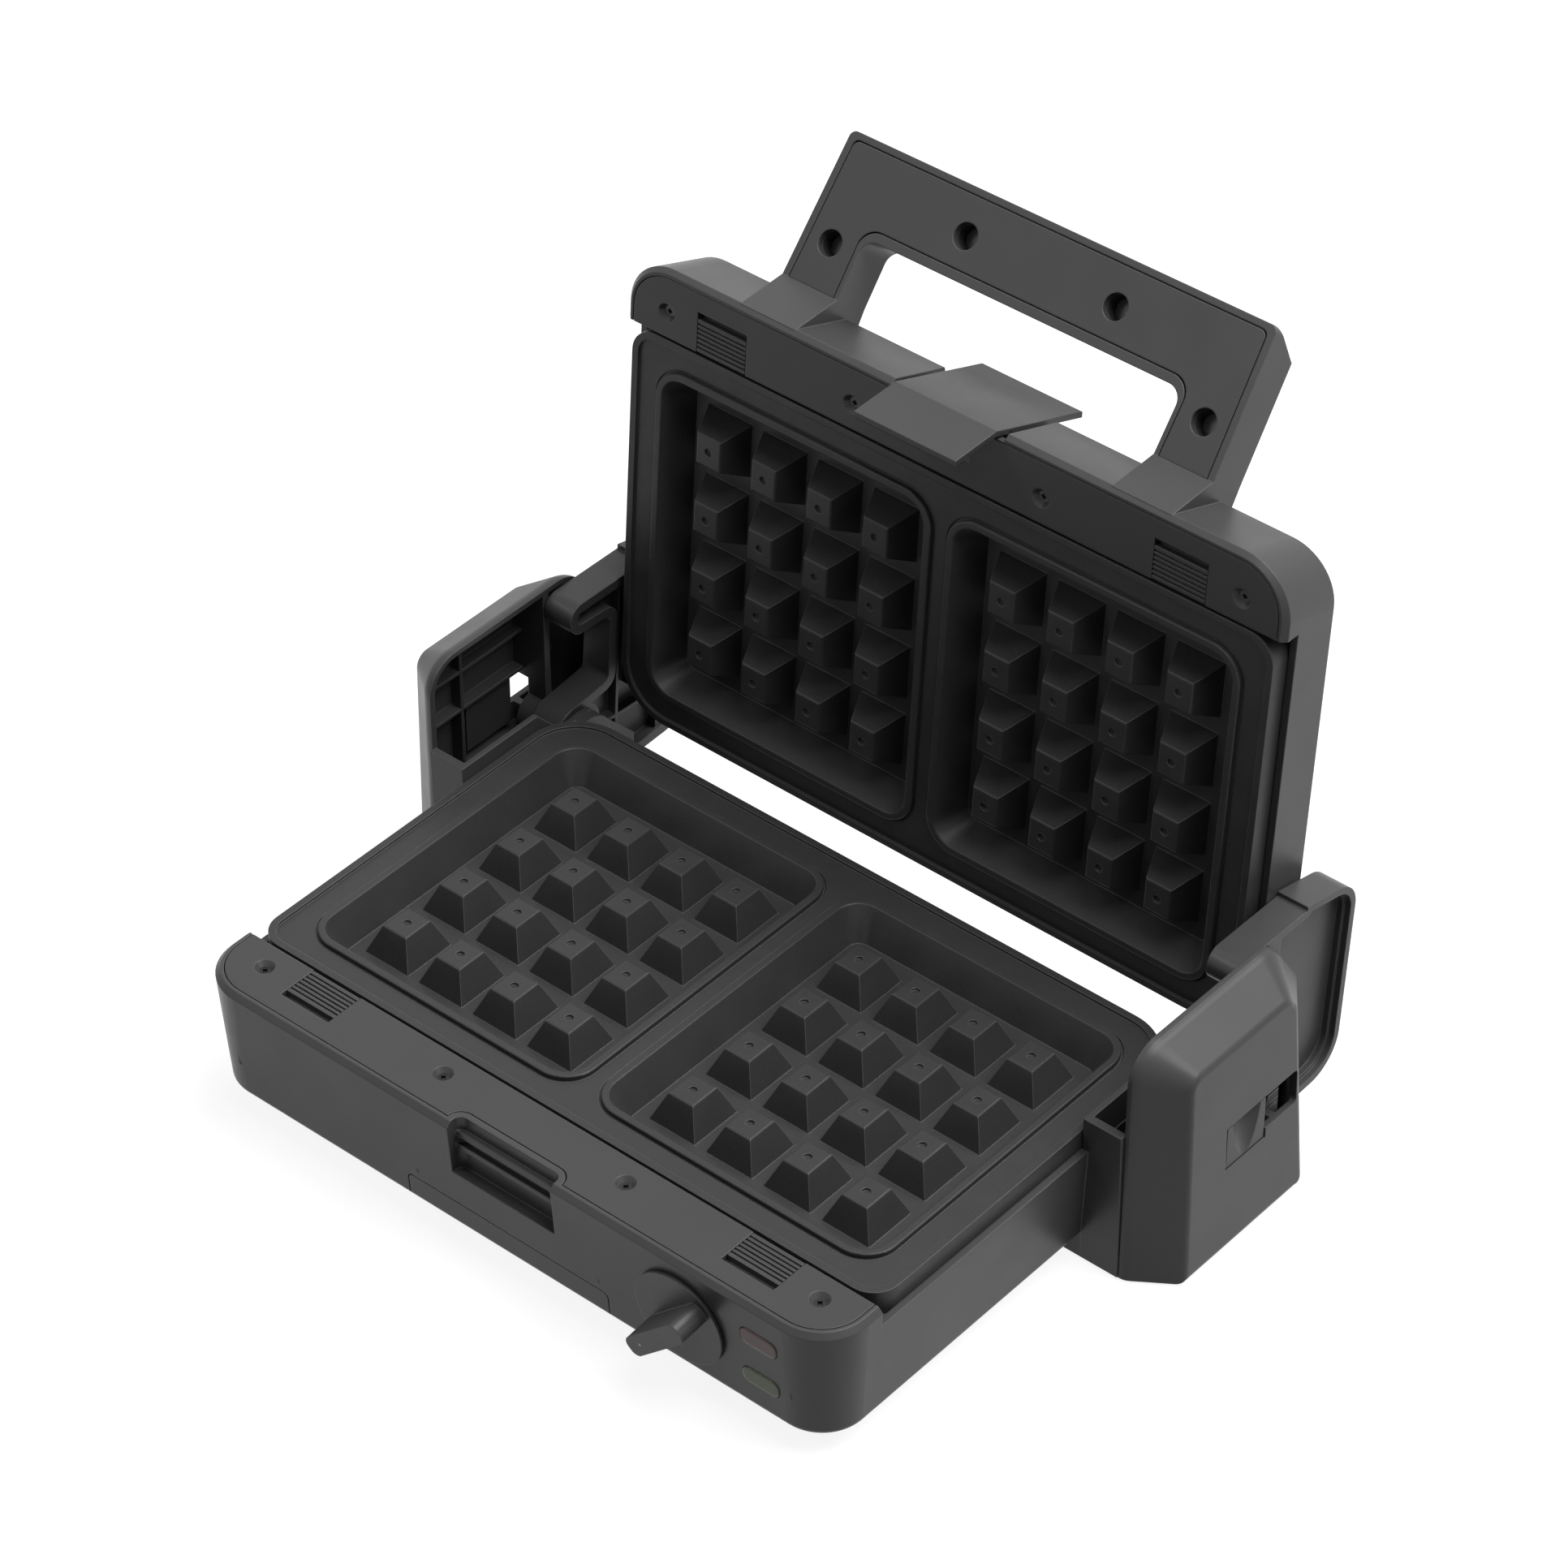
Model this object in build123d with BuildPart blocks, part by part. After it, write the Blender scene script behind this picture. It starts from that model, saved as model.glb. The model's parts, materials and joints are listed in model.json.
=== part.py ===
from build123d import *

# Two-mould deep waffle maker with a hinged lid, a carrying handle and lift-out plates.
# Millimetres, +Z up, front towards -Y. The origin lies on the table, under the middle of
# the open object. The datum is the middle of the front row of pyramid tops on the lower
# plate. Each half has a frame of its own: across (x), back (y) and into its housing (depth).

import os
from math import cos, hypot, radians, sin, tan

os.makedirs("parts", exist_ok=True)

# Datum
TOPS_Z = 56.5
ROW_1_Y = -72.65
SEAT_GAP = 0.3
FIT_GAP = 0.15
SEAM = 0.45

# Waffle pattern and moulds
COLUMNS = 4
ROWS = 4
PITCH_X = 24.0
PITCH_Y = 27.5
COLUMN_1_X = 26.5
PYRAMID_X = 10.2
PYRAMID_Y = 11.8
PYRAMID_DRAFT = 22.4
PYRAMID_ROUND = 0.7
DIMPLE_R = 1.5
DIMPLE_DEPTH = 0.9
MOULD_DEPTH = 11.0
MOULD_MARGIN_X = 20.0
MOULD_MARGIN_Y = 22.2
MOULD_DRAFT = 26.0
MOULD_R = 9.0
MOULD_FLOOR_R = 4.5

# Cooking plates
PLATE_T = 2.4
PLATE_GAP = 2.5
WEB_SINK = 0.5
RIM_RISE = 0.5
RIM_W = 2.6
LIP_W = 3.2
LIP_RISE = 1.0
GROOVE_W = 0.9
GROOVE_DEPTH = 0.6
SKIRT = 8.6
BORDER_SIDE = 14.4
BORDER_FRONT = 13.8
BORDER_BACK = 14.3
PLATE_R_FRONT = 10.0
PLATE_R_BACK = 20.0

# Housings
WALL = 2.6
SIDE_STEP = 3.2
WALL_DROP = 7.2
RIM_BAND = 3.0
RIM_R = 19.2
STRIP_L = 23.0
STRIP_T = 2.2
STRIP_GAP = 1.2
SHELF_W = 3.2
SHELF_T = 2.0
BASE_DEPTH = 46.1
BASE_TAPER_X = 2.8
BASE_TAPER_Y = 3.7
BASE_EDGE_R = 2.5
RIM_CHAMFER = 2.0
LID_DEPTH = 27.2
LID_TAPER_X = 1.2
LID_TAPER_Y = 8.2
CROWN_RISE = 5.5
CROWN_INSET = 26.0

# Hinge
HINGE_BACK = 5.7
HINGE_DROP = 16.8
LID_SWING = 94.0
PIN_R = 4.0
PIN_GAP = 0.06
PIN_HEAD_R = 6.2
PIN_HEAD_T = 2.0

# Pillars and their covers
CHEEK_X = 135.4
CHEEK_T = 2.0
EAR_X = 136.0
EAR_W = 12.0
EAR_GAP = 0.7
EAR_WALL = 2.6
EAR_ARM_R = 6.0
EAR_R = 12.0
EAR_R_BACK = 15.0
EAR_WEB = 2.6
EAR_STEP = 1.1
GAP_R = 2.5
EAR_BOSS_R = 12.0
COVER_W = 17.9
COVER_WALL = 2.2
COVER_EDGE_R = 2.8
COVER_RIM = 0.4
COVER_BEND_R = 6.0
COVER_BEND = 36.0
BEND_STEPS = 3
COVER_TAPER = 1.0
BLOCK_WALL = 3.0
LEDGE_Z = 6.0
PAD_T = 1.0
FOOT_R = 8.5
FOOT_IN = 31.0
FOOT_STRIP = 11.4
RIB_T = 1.4

# Front face: latch notch, access tongue, knob and lamps
NOTCH_HALF_W = 22.0
NOTCH_DEPTH = 6.2
NOTCH_DROP = 21.9
NOTCH_WALL = 2.2
NOTCH_R = 3.0
RIDGE_T = 2.0
RIDGE_DROP = 10.6
RIDGE_PITCH = 5.2
RIDGE_REACH = 2.2
TONGUE_HALF_W = 43.4
TONGUE_Z = -35.0
TONGUE_R = 2.5
COVER_BACK = 46.0
KNOB_X = 74.7
KNOB_Z = -23.8
KNOB_R = 17.8
KNOB_T = 1.2
GRIP_L = 31.0
GRIP_W = 7.5
GRIP_H = 11.4
GRIP_TURN = 45.0
GRIP_R = 3.0
SHAFT_L = 6.6
COLLAR_L = 2.0
SHAFT_R = 3.0
LAMP_X = 107.0
LAMP_W = 14.7
LAMP_H = 6.6
LAMP_R = 2.6
LAMP_T = 3.0
RED_Z = -13.9
GREEN_Z = -31.9
BOARD_T = 1.6
BOARD_EDGE = 3.0

# Plate release sliders
SLIDER_X = 94.5
SLIDER_W = 21.3
SLIDER_TRAVEL = 2.4
SLIDER_POCKET_L = 15.4
SLIDER_FLANGE = 1.6
FLANGE_T = 1.8
TONGUE_W = 14.0
TONGUE_T = 1.8
TONGUE_REACH = 1.8
RIDGES = 6
RIDGE_CUT = 0.8

# Strip screws
SCREW_OUTER_X = 118.5
SCREW_INNER_X = 39.0
SCREW_Y = -46.3
SCREW_R = 1.5
SCREW_HEAD_R = 2.0
SINK_R = 3.4
SCREW_L = 9.0
SINK_ANGLE = 82.0
BOSS_R = 3.8

# Latch
LATCH_HALF_W = 20.8
LATCH_T = 2.2
LATCH_BEND_Y = -64.1
LATCH_BEND_H = -2.0
LATCH_TOP_Y = -50.1
LATCH_TOP_H = 44.0
LATCH_FOOT_Y = -62.4
LATCH_FOOT_H = -22.5
LATCH_PIN_R = 1.5
LATCH_PIN_H = 5.0
LATCH_PIN_IN = 1.6
HOOK_H = 4.0
POCKET_HALF_W = 23.2
POCKET_DEPTH = 7.4
POCKET_MOUTH = 3.0

# Handle loop on the lid
HANDLE_TILT = 35.0
HANDLE_FRONT_Y = -64.7
HANDLE_FRONT_H = 22.0
HANDLE_HALF_W = 88.5
HANDLE_TOP_IN = 2.0
HANDLE_RISE = 52.4
HANDLE_T = 18.0
HANDLE_R = 2.6
HANDLE_BEVEL = 9.0
HANDLE_EDGE = 2.1
LOOP_HALF_W = 65.0
LOOP_RISE = 22.0
LOOP_R = 5.5
LOOP_LIP_SIDE = 2.0
LOOP_LIP_TOP = 3.8
LOOP_LIP_R = 7.0
ROOT_SPREAD = 12.0
ROOT_RISE = 3.4
PANEL_EDGE = 2.8
PANEL_T = 3.0
WELL_R = 4.6
WELL_EDGE = 12.0
WELL_OUTER_T = 15.7
WELL_INNER_X = 30.6
WELL_INNER_T = 36.5

# Heating elements, reflectors and electrics
ELEMENT_R = 3.2
ELEMENT_X = 100.0
ELEMENT_BEND = 14.0
ELEMENT_END_X = 12.0
SADDLE_L = 8.0
SADDLE_W = 6.0
CLAMP_L = 40.0
CLAMP_W = 4.0
CLAMP_IN = 4.0
REFLECTOR_T = 0.8
REFLECTOR_GAP = 1.2
REFLECTOR_WALL_H = 9.0
POST_R = 4.0
POST_X = 70.0
THERMOSTAT_R = 12.0
THERMOSTAT_L = 12.0
FUSE_L = 22.0
FUSE_W = 9.0
FUSE_T = 5.0
TERMINAL_L = 40.0
TERMINAL_W = 15.0
TERMINAL_T = 12.0
TERMINAL_Y = 66.0
GLAND_DROP = 33.0
GLAND_R = 5.0
GLAND_FLANGE = 2.2
GLAND_BORE = 3.4

# Outlines seen from the side, counted from the hinge axis (back, up)
BLOCK_FRONT = 58.5
BLOCK_LEAN = 1.4
BLOCK_BACK = 26.5
BLOCK_BACK_DROP = 14.0
LEDGE_BACK = 22.0
CHEEK_FRONT = 10.0
CHEEK_BACK = 4.0
SLOT_H = 8.0
COVER_FRONT = 58.2
COVER_TOP = 56.8
COVER_BACK_TOP = 13.6
COVER_BACK_Y = 28.0
COVER_BACK_Z = 35.0
COVER_R_FRONT = 13.0
COVER_R_TOP = 14.0
COVER_R_BACK = 11.0
COVER_R_HEEL = 3.4
COVER_RIB_Y = 32.7
COVER_RIB_Z = 34.0
COVER_RIB_DROP = 6.0
COVER_RIB_RISE = 3.0
COVER_RIB_H = 5.0
FACE_FRONT = 46.9
FACE_TOP = 47.8
FACE_BACK_TOP = 3.6
FACE_BACK_Y = 15.3
FACE_BACK_DROP = 5.0
FACE_R = 5.0
EAR_FRONT = 58.2
EAR_TOP = 60.8
EAR_BACK = 27.0
EAR_LIP_Z = 32.3
ARM_FRONT = 54.3
ARM_DROP = 4.8
ARM_LEAN = 2.2
EAR_TOP_IN = 4.6
EAR_TOP_BACK = 22.5
EAR_BACK_Z = 17.0
EAR_HEEL_Y = 10.0
EAR_HEEL_DROP = 8.0
EAR_TOE_Y = 4.0
GAP_TOP = 16.0
GAP_BACK = 15.0
EAR_PAD_FRONT = 40.0
EAR_PAD_BACK = 6.0
EAR_PAD_Z = 28.0
EAR_PAD_H = 14.0
EAR_PAD_T = 4.0
EAR_RIBS_Y = -24.0, 4.0
EAR_RIBS_Z = 22.0, 44.0

# Hinge locks in the pillar covers
LOCK_W = 20.0
LOCK_H = 17.0
LOCK_Y = -17.2
LOCK_Z = 6.0
LOCK_T = 6.0
LOCK_SCOOP_R = 9.0
LOCK_SCOOP_DEPTH = 4.0
LOCK_SCOOP_LEAN = 13.0
LOCK_FLANGE = 1.2
SOCKET_L = 8.0
WINDOW_BACK = 9.8
WINDOW_BOTTOM = 0.8
WINDOW_R = 2.0

# Sizes that follow from those above
MOULD_X = COLUMN_1_X + PITCH_X * (COLUMNS - 1) / 2
MOULD_Y = PITCH_Y * (ROWS - 1) / 2
MOULD_HALF_W = PITCH_X * (COLUMNS - 1) / 2 + MOULD_MARGIN_X
MOULD_HALF_L = PITCH_Y * (ROWS - 1) / 2 + MOULD_MARGIN_Y
PLATE_HALF_W = MOULD_X + MOULD_HALF_W + BORDER_SIDE
PLATE_FRONT = MOULD_Y - MOULD_HALF_L - BORDER_FRONT
PLATE_BACK = MOULD_Y + MOULD_HALF_L + BORDER_BACK
HOUSE_HALF_W = PLATE_HALF_W + SIDE_STEP
HOUSE_BACK = PLATE_BACK + SIDE_STEP
HOUSE_R_BACK = PLATE_R_BACK + SIDE_STEP
STRIP_BACK = PLATE_FRONT - STRIP_GAP
STRIP_FRONT = STRIP_BACK - STRIP_L
HOUSE_FRONT = STRIP_FRONT - RIM_BAND
HINGE_Y = PLATE_BACK + HINGE_BACK
HINGE_Z = TOPS_Z - HINGE_DROP
FRONT_SLOPE = BASE_TAPER_Y / (BASE_DEPTH + RIM_RISE)
NOTCH_BACK = HOUSE_FRONT + NOTCH_DEPTH
EAR_OUT = EAR_X + EAR_W
COVER_X = EAR_OUT + EAR_GAP
COVER_OUT = COVER_X + COVER_W
STRIP_UNDER = STRIP_T - RIM_RISE
LATCH_PIN_Y = HOUSE_FRONT + WALL + LATCH_PIN_IN
HEAD_D = FIT_GAP - RIM_RISE + (SINK_R - SCREW_HEAD_R) / tan(radians(SINK_ANGLE / 2))
WELL_OUTER_X = HANDLE_HALF_W - WELL_EDGE
FLANGE_D = STRIP_UNDER + SEAT_GAP
TONGUE_D = FLANGE_D + FLANGE_T
SKIRT_SEAT = SKIRT + SEAT_GAP
FLOOR_UNDER = MOULD_DEPTH + PLATE_T
ELEMENT_D = FLOOR_UNDER + SEAT_GAP + ELEMENT_R
REFLECTOR_D = ELEMENT_D + ELEMENT_R + REFLECTOR_GAP

LOWER = Plane((0, ROW_1_Y, TOPS_Z), x_dir=(-1, 0, 0), z_dir=(0, 0, -1))
CLOSED_LID = Plane((0, ROW_1_Y, TOPS_Z + PLATE_GAP))
AXIS = Location((0, ROW_1_Y + HINGE_Y, HINGE_Z))
OPENED = AXIS * Location((0, 0, 0), (-LID_SWING, 0, 0)) * AXIS.inverse()
UPPER = Plane(OPENED * CLOSED_LID.location)


def across(half, x):
    """Plane across a half at x; its axes run back and into the housing."""
    return Plane(half.from_local_coords((x, 0, 0)), x_dir=half.y_dir, z_dir=half.x_dir)


def about_hinge(x):
    """Plane across the object at x, on the hinge axis; its axes run back and up."""
    return Plane((x, ROW_1_Y + HINGE_Y, HINGE_Z), x_dir=(0, 1, 0), z_dir=(1, 0, 0))


def about_hinge_open(x):
    """The same plane as about_hinge, carried round with the opened lid."""
    return Plane(OPENED * about_hinge(x).location)


def finish(part, name):
    part.part.label = name
    export_step(part.part, f"parts/{name}.step")


def shape(*corners, radius=0.0):
    """Closed sketch through the corners, rounded by one radius or by one for each."""
    with BuildSketch() as closed:
        with BuildLine():
            FilletPolyline(*corners, radius=radius, close=True)
        make_face()
    return closed.sketch


def outline(half_w, front, back, r_front, r_back):
    """Four-sided outline with two sizes of rounded corner."""
    corners = (-half_w, front), (half_w, front), (half_w, back), (-half_w, back)
    return shape(*corners, radius=[r_front, r_front, r_back, r_back])


def plate_outline(inset):
    return outline(PLATE_HALF_W - inset, PLATE_FRONT + inset, PLATE_BACK - inset,
                   PLATE_R_FRONT - inset, PLATE_R_BACK - inset)


def mould_outline(x, out, radius):
    """Outline of the mould at x, grown by out on every side."""
    with BuildSketch() as mould:
        with Locations((x, MOULD_Y)):
            RectangleRounded(2 * (MOULD_HALF_W + out), 2 * (MOULD_HALF_L + out), radius)
    return mould.sketch


def make_plate(half, name):
    """Cast plate: skirted web, two drafted tubs with lips, and a field of pyramids."""
    draft = tan(radians(MOULD_DRAFT))
    with BuildPart() as pyramid:
        with BuildSketch():
            Rectangle(PYRAMID_X, PYRAMID_Y)
        extrude(amount=MOULD_DEPTH + PLATE_T / 2, taper=-PYRAMID_DRAFT)
        fillet(pyramid.edges().filter_by(Axis.Z, reverse=True).group_by(Axis.Z)[0], PYRAMID_ROUND)
        with Locations((0, 0)):
            Hole(DIMPLE_R, DIMPLE_DEPTH)
    with BuildPart() as plate:
        with BuildSketch(half.offset(-RIM_RISE)):
            add(plate_outline(0))
        extrude(amount=RIM_RISE + SKIRT)
        with BuildSketch(half.offset(-RIM_RISE)):
            add(plate_outline(RIM_W))
        extrude(amount=RIM_RISE + WEB_SINK, mode=Mode.SUBTRACT)
        with BuildSketch(half.offset(WEB_SINK + PLATE_T)):
            add(plate_outline(PLATE_T))
        extrude(amount=SKIRT, mode=Mode.SUBTRACT)
        for x in (-MOULD_X, MOULD_X):
            with BuildSketch(half.offset(WEB_SINK)):
                add(mould_outline(x, PLATE_T, MOULD_R + PLATE_T))
            with BuildSketch(half.offset(FLOOR_UNDER)):
                add(mould_outline(x, PLATE_T - MOULD_DEPTH * draft, MOULD_FLOOR_R + PLATE_T))
            loft()
            with BuildSketch(half.offset(-LIP_RISE)):
                add(mould_outline(x, LIP_W, MOULD_R + LIP_W))
            extrude(amount=LIP_RISE + WEB_SINK + PLATE_T / 2)
            with BuildSketch(half.offset(-LIP_RISE)):
                add(mould_outline(x, LIP_RISE * draft, MOULD_R))
            with BuildSketch(half.offset(MOULD_DEPTH)):
                add(mould_outline(x, -MOULD_DEPTH * draft, MOULD_FLOOR_R))
            loft(mode=Mode.SUBTRACT)
            with BuildSketch(half.offset(WEB_SINK)):
                add(mould_outline(x, LIP_W + GROOVE_W, MOULD_R + LIP_W + GROOVE_W))
                add(mould_outline(x, LIP_W, MOULD_R + LIP_W), mode=Mode.SUBTRACT)
            extrude(amount=GROOVE_DEPTH, mode=Mode.SUBTRACT)
        fillet(edges_at(half, plate, -LIP_RISE), LIP_RISE / 2)
        with BuildSketch(across(half, 0).offset(SLIDER_X - TONGUE_W / 2 - SEAT_GAP)):
            with Locations((PLATE_FRONT, TONGUE_D + TONGUE_T / 2)):
                Rectangle(4 * PLATE_T, TONGUE_T + 2 * SEAT_GAP)
        slots = extrude(amount=TONGUE_W + 2 * SEAT_GAP, mode=Mode.SUBTRACT)
        mirror(slots, about=Plane.YZ, mode=Mode.SUBTRACT)
        with Locations(half):
            with Locations((-MOULD_X, MOULD_Y), (MOULD_X, MOULD_Y)):
                with GridLocations(PITCH_X, PITCH_Y, COLUMNS, ROWS):
                    add(pyramid.part)
    finish(plate, name)


def depth_in(half, point):
    return half.to_local_coords(point).Z


def edges_at(half, piece, depth):
    """Edges of a piece that lie at one depth of a half."""
    return piece.edges().filter_by(lambda e: abs(depth_in(half, e.center()) - depth) < 0.01)


def house_outline(full_depth, taper_x, taper_y, depth, inset):
    """Outline of a housing at a depth, drawn in by inset on every side."""
    share = (depth + RIM_RISE) / (full_depth + RIM_RISE)
    side = share * taper_x + inset
    front = HOUSE_FRONT + share * taper_y + inset
    return outline(HOUSE_HALF_W - side, front, HOUSE_BACK - side, RIM_R - side, HOUSE_R_BACK - side)


def base_outline(depth, inset=0.0):
    return house_outline(BASE_DEPTH, BASE_TAPER_X, BASE_TAPER_Y, depth, inset)


def lid_outline(depth, inset=0.0):
    return house_outline(LID_DEPTH, LID_TAPER_X, LID_TAPER_Y, depth, inset)


def tub(half, outline_at, top, bottom, inset=0.0):
    """Tapered block that fills a housing from one depth to another."""
    with BuildPart() as block:
        with BuildSketch(half.offset(top)):
            add(outline_at(top, inset))
        with BuildSketch(half.offset(bottom)):
            add(outline_at(bottom, inset))
        loft()
    return block.part


def slab(half, sketch, top, bottom):
    """Straight block under a sketch, from one depth to another."""
    with BuildPart() as block:
        with BuildSketch(half.offset(top)):
            add(sketch)
        extrude(amount=bottom - top)
    return block.part


def box(x_1, x_2, y_1, y_2):
    """Rectangle between two corners."""
    return shape((x_1, y_1), (x_2, y_1), (x_2, y_2), (x_1, y_2))


def ahead_of(sketch, y):
    """The part of a sketch in front of a line."""
    with BuildSketch() as kept:
        add(sketch)
        add(box(-2 * HOUSE_HALF_W, 2 * HOUSE_HALF_W, y, 2 * HOUSE_BACK), mode=Mode.SUBTRACT)
    return kept.sketch


def housing_shell(half, outline_at, floor):
    """Walls and floor of either housing, with the strip seat, plate well and shelf."""
    ledge = STRIP_UNDER + SHELF_T
    with BuildSketch() as shelf:
        add(outline_at(SKIRT_SEAT, WALL - FIT_GAP))
        add(plate_outline(SHELF_W), mode=Mode.SUBTRACT)
        add(ahead_of(outline_at(SKIRT_SEAT), STRIP_BACK), mode=Mode.SUBTRACT)
    with BuildPart() as shell:
        with BuildSketch(half.offset(-RIM_RISE)):
            add(outline_at(-RIM_RISE, RIM_CHAMFER))
        with BuildSketch(half.offset(RIM_CHAMFER - RIM_RISE)):
            add(outline_at(RIM_CHAMFER - RIM_RISE, 0))
        loft()
        add(tub(half, outline_at, RIM_CHAMFER - RIM_RISE, floor))
        add(tub(half, outline_at, ledge, floor - WALL, WALL), mode=Mode.SUBTRACT)
        add(slab(half, ahead_of(outline_at(0, RIM_BAND), STRIP_BACK), -RIM_RISE, STRIP_UNDER),
            mode=Mode.SUBTRACT)
        add(slab(half, ahead_of(outline_at(0, RIM_BAND + SHELF_W), STRIP_BACK), 0, ledge),
            mode=Mode.SUBTRACT)
        add(slab(half, box(-2 * HOUSE_HALF_W, 2 * HOUSE_HALF_W, STRIP_BACK, 2 * HOUSE_BACK),
                 -RIM_RISE, WALL_DROP), mode=Mode.SUBTRACT)
        add(slab(half, shelf.sketch, SKIRT_SEAT, SKIRT_SEAT + SHELF_T))
    return shell.part


SCREW_POINTS = [(side * x, SCREW_Y) for x in (SCREW_INNER_X, SCREW_OUTER_X) for side in (-1, 1)]
POST_POINTS = [(side * POST_X, y) for side in (-1, 1) for y in (0, MOULD_Y * 2)]


def posts(half, points, radius, bore, top, bottom):
    """Round posts with a blind pilot bore in their tops."""
    with BuildPart() as group:
        with BuildSketch(half.offset(top)):
            with Locations(*points):
                Circle(radius)
        extrude(amount=bottom - top)
        with BuildSketch(half.offset(top)):
            with Locations(*points):
                Circle(bore)
        extrude(amount=SCREW_L, mode=Mode.SUBTRACT)
    return group.part


def make_screws(half, points, depth, name):
    """Countersunk cross-head screws, sunk head first into a half."""
    with BuildPart() as screws:
        with Locations(half.offset(depth)):
            with Locations(*points):
                Cone(SCREW_HEAD_R, SCREW_R, (SCREW_HEAD_R - SCREW_R) / tan(radians(SINK_ANGLE / 2)),
                     align=(Align.CENTER, Align.CENTER, Align.MIN))
                Cylinder(SCREW_R, SCREW_L, align=(Align.CENTER, Align.CENTER, Align.MIN))
                Box(SCREW_HEAD_R, SCREW_R / 2, SCREW_R, mode=Mode.SUBTRACT)
                Box(SCREW_R / 2, SCREW_HEAD_R, SCREW_R, mode=Mode.SUBTRACT)
    finish(screws, name)


def make_strip(half, bay, name):
    """Front strip with slider pockets, screw seats and any bay cut into its front edge."""
    with BuildPart() as strip:
        with BuildSketch(half.offset(-RIM_RISE)):
            add(ahead_of(base_outline(-RIM_RISE, RIM_BAND + SEAM), STRIP_BACK))
            if bay:
                add(bay, mode=Mode.SUBTRACT)
            for side in (-1, 1):
                edge = side * SLIDER_X - SLIDER_W / 2
                add(box(edge, edge + SLIDER_W, STRIP_BACK - SLIDER_POCKET_L, STRIP_BACK + 1),
                    mode=Mode.SUBTRACT)
        extrude(amount=STRIP_T)
        with Locations(Plane(half.offset(-RIM_RISE).origin, x_dir=half.x_dir, z_dir=-half.z_dir)):
            with Locations(*[(x, -y) for x, y in SCREW_POINTS]):
                CounterSinkHole(SCREW_R + FIT_GAP, SINK_R + FIT_GAP)
    finish(strip, name)


def make_slider(half, side, name):
    """Ribbed push button with side flanges under the strip and a tongue into the plate."""
    x = side * SLIDER_X
    back = STRIP_BACK - SEAT_GAP
    half_w = SLIDER_W / 2 - SEAT_GAP
    front = STRIP_BACK - SLIDER_POCKET_L + SLIDER_TRAVEL + SEAT_GAP
    flange = half_w + SLIDER_FLANGE
    with BuildPart() as slider:
        add(slab(half, box(x - half_w, x + half_w, front, back), -RIM_RISE, FLANGE_D + FLANGE_T))
        add(slab(half, box(x - flange, x + flange, front - SLIDER_TRAVEL - SLIDER_FLANGE / 2, back),
                 FLANGE_D, FLANGE_D + FLANGE_T))
        tongue = box(x - TONGUE_W / 2, x + TONGUE_W / 2, front + WALL, PLATE_FRONT + TONGUE_REACH)
        add(slab(half, tongue, TONGUE_D, TONGUE_D + TONGUE_T))
        pitch = (back - front) / (RIDGES + 1)
        for i in range(RIDGES):
            y = front + (i + 1) * pitch
            add(slab(half, box(x - half_w, x + half_w, y - RIDGE_CUT / 2, y + RIDGE_CUT / 2),
                     -RIM_RISE, RIDGE_CUT - RIM_RISE), mode=Mode.SUBTRACT)
    finish(slider, name)


# Base housing: shell, screw posts, latch notch, pillar blocks and the face openings
FACE = Plane((0, ROW_1_Y + HOUSE_FRONT, TOPS_Z + RIM_RISE), x_dir=(1, 0, 0),
             z_dir=(0, -1, -FRONT_SLOPE))
BACK_SLOPE = BASE_TAPER_X / (BASE_DEPTH + RIM_RISE)
GLAND = Plane((0, ROW_1_Y + HOUSE_BACK - BACK_SLOPE * (GLAND_DROP + RIM_RISE), TOPS_Z - GLAND_DROP),
              x_dir=(1, 0, 0), z_dir=(0, 1, -BACK_SLOPE))
PILLAR_DROP = HINGE_Z - PAD_T
LEDGE_RISE = LEDGE_Z + HINGE_DROP


def on_face(z):
    """Distance down the sloped front face for a height from the datum."""
    return (z - RIM_RISE) * hypot(1, FRONT_SLOPE)


def tongue_outline():
    """Outline of the bottom cover's tongue on the front face, open at the bottom edge."""
    below = 2 * on_face(-BASE_DEPTH)
    return shape((-TONGUE_HALF_W, below), (TONGUE_HALF_W, below), (TONGUE_HALF_W, on_face(TONGUE_Z)),
                 (-TONGUE_HALF_W, on_face(TONGUE_Z)), radius=[0, 0, TONGUE_R, TONGUE_R])


def notch_outline(grow):
    """Bay in the front rim for the latch, grown by a wall or a clearance."""
    half_w = NOTCH_HALF_W + grow
    return shape((-half_w, 2 * HOUSE_FRONT), (half_w, 2 * HOUSE_FRONT), (half_w, NOTCH_BACK + grow),
                 (-half_w, NOTCH_BACK + grow), radius=[0, 0, NOTCH_R + grow, NOTCH_R + grow])


def behind_front(sketch):
    """The part of a sketch behind the inside of the front wall."""
    with BuildSketch() as kept:
        add(sketch)
        add(box(-HOUSE_HALF_W, HOUSE_HALF_W, HOUSE_FRONT + WALL - FIT_GAP, HOUSE_BACK), mode=Mode.INTERSECT)
    return kept.sketch


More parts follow.
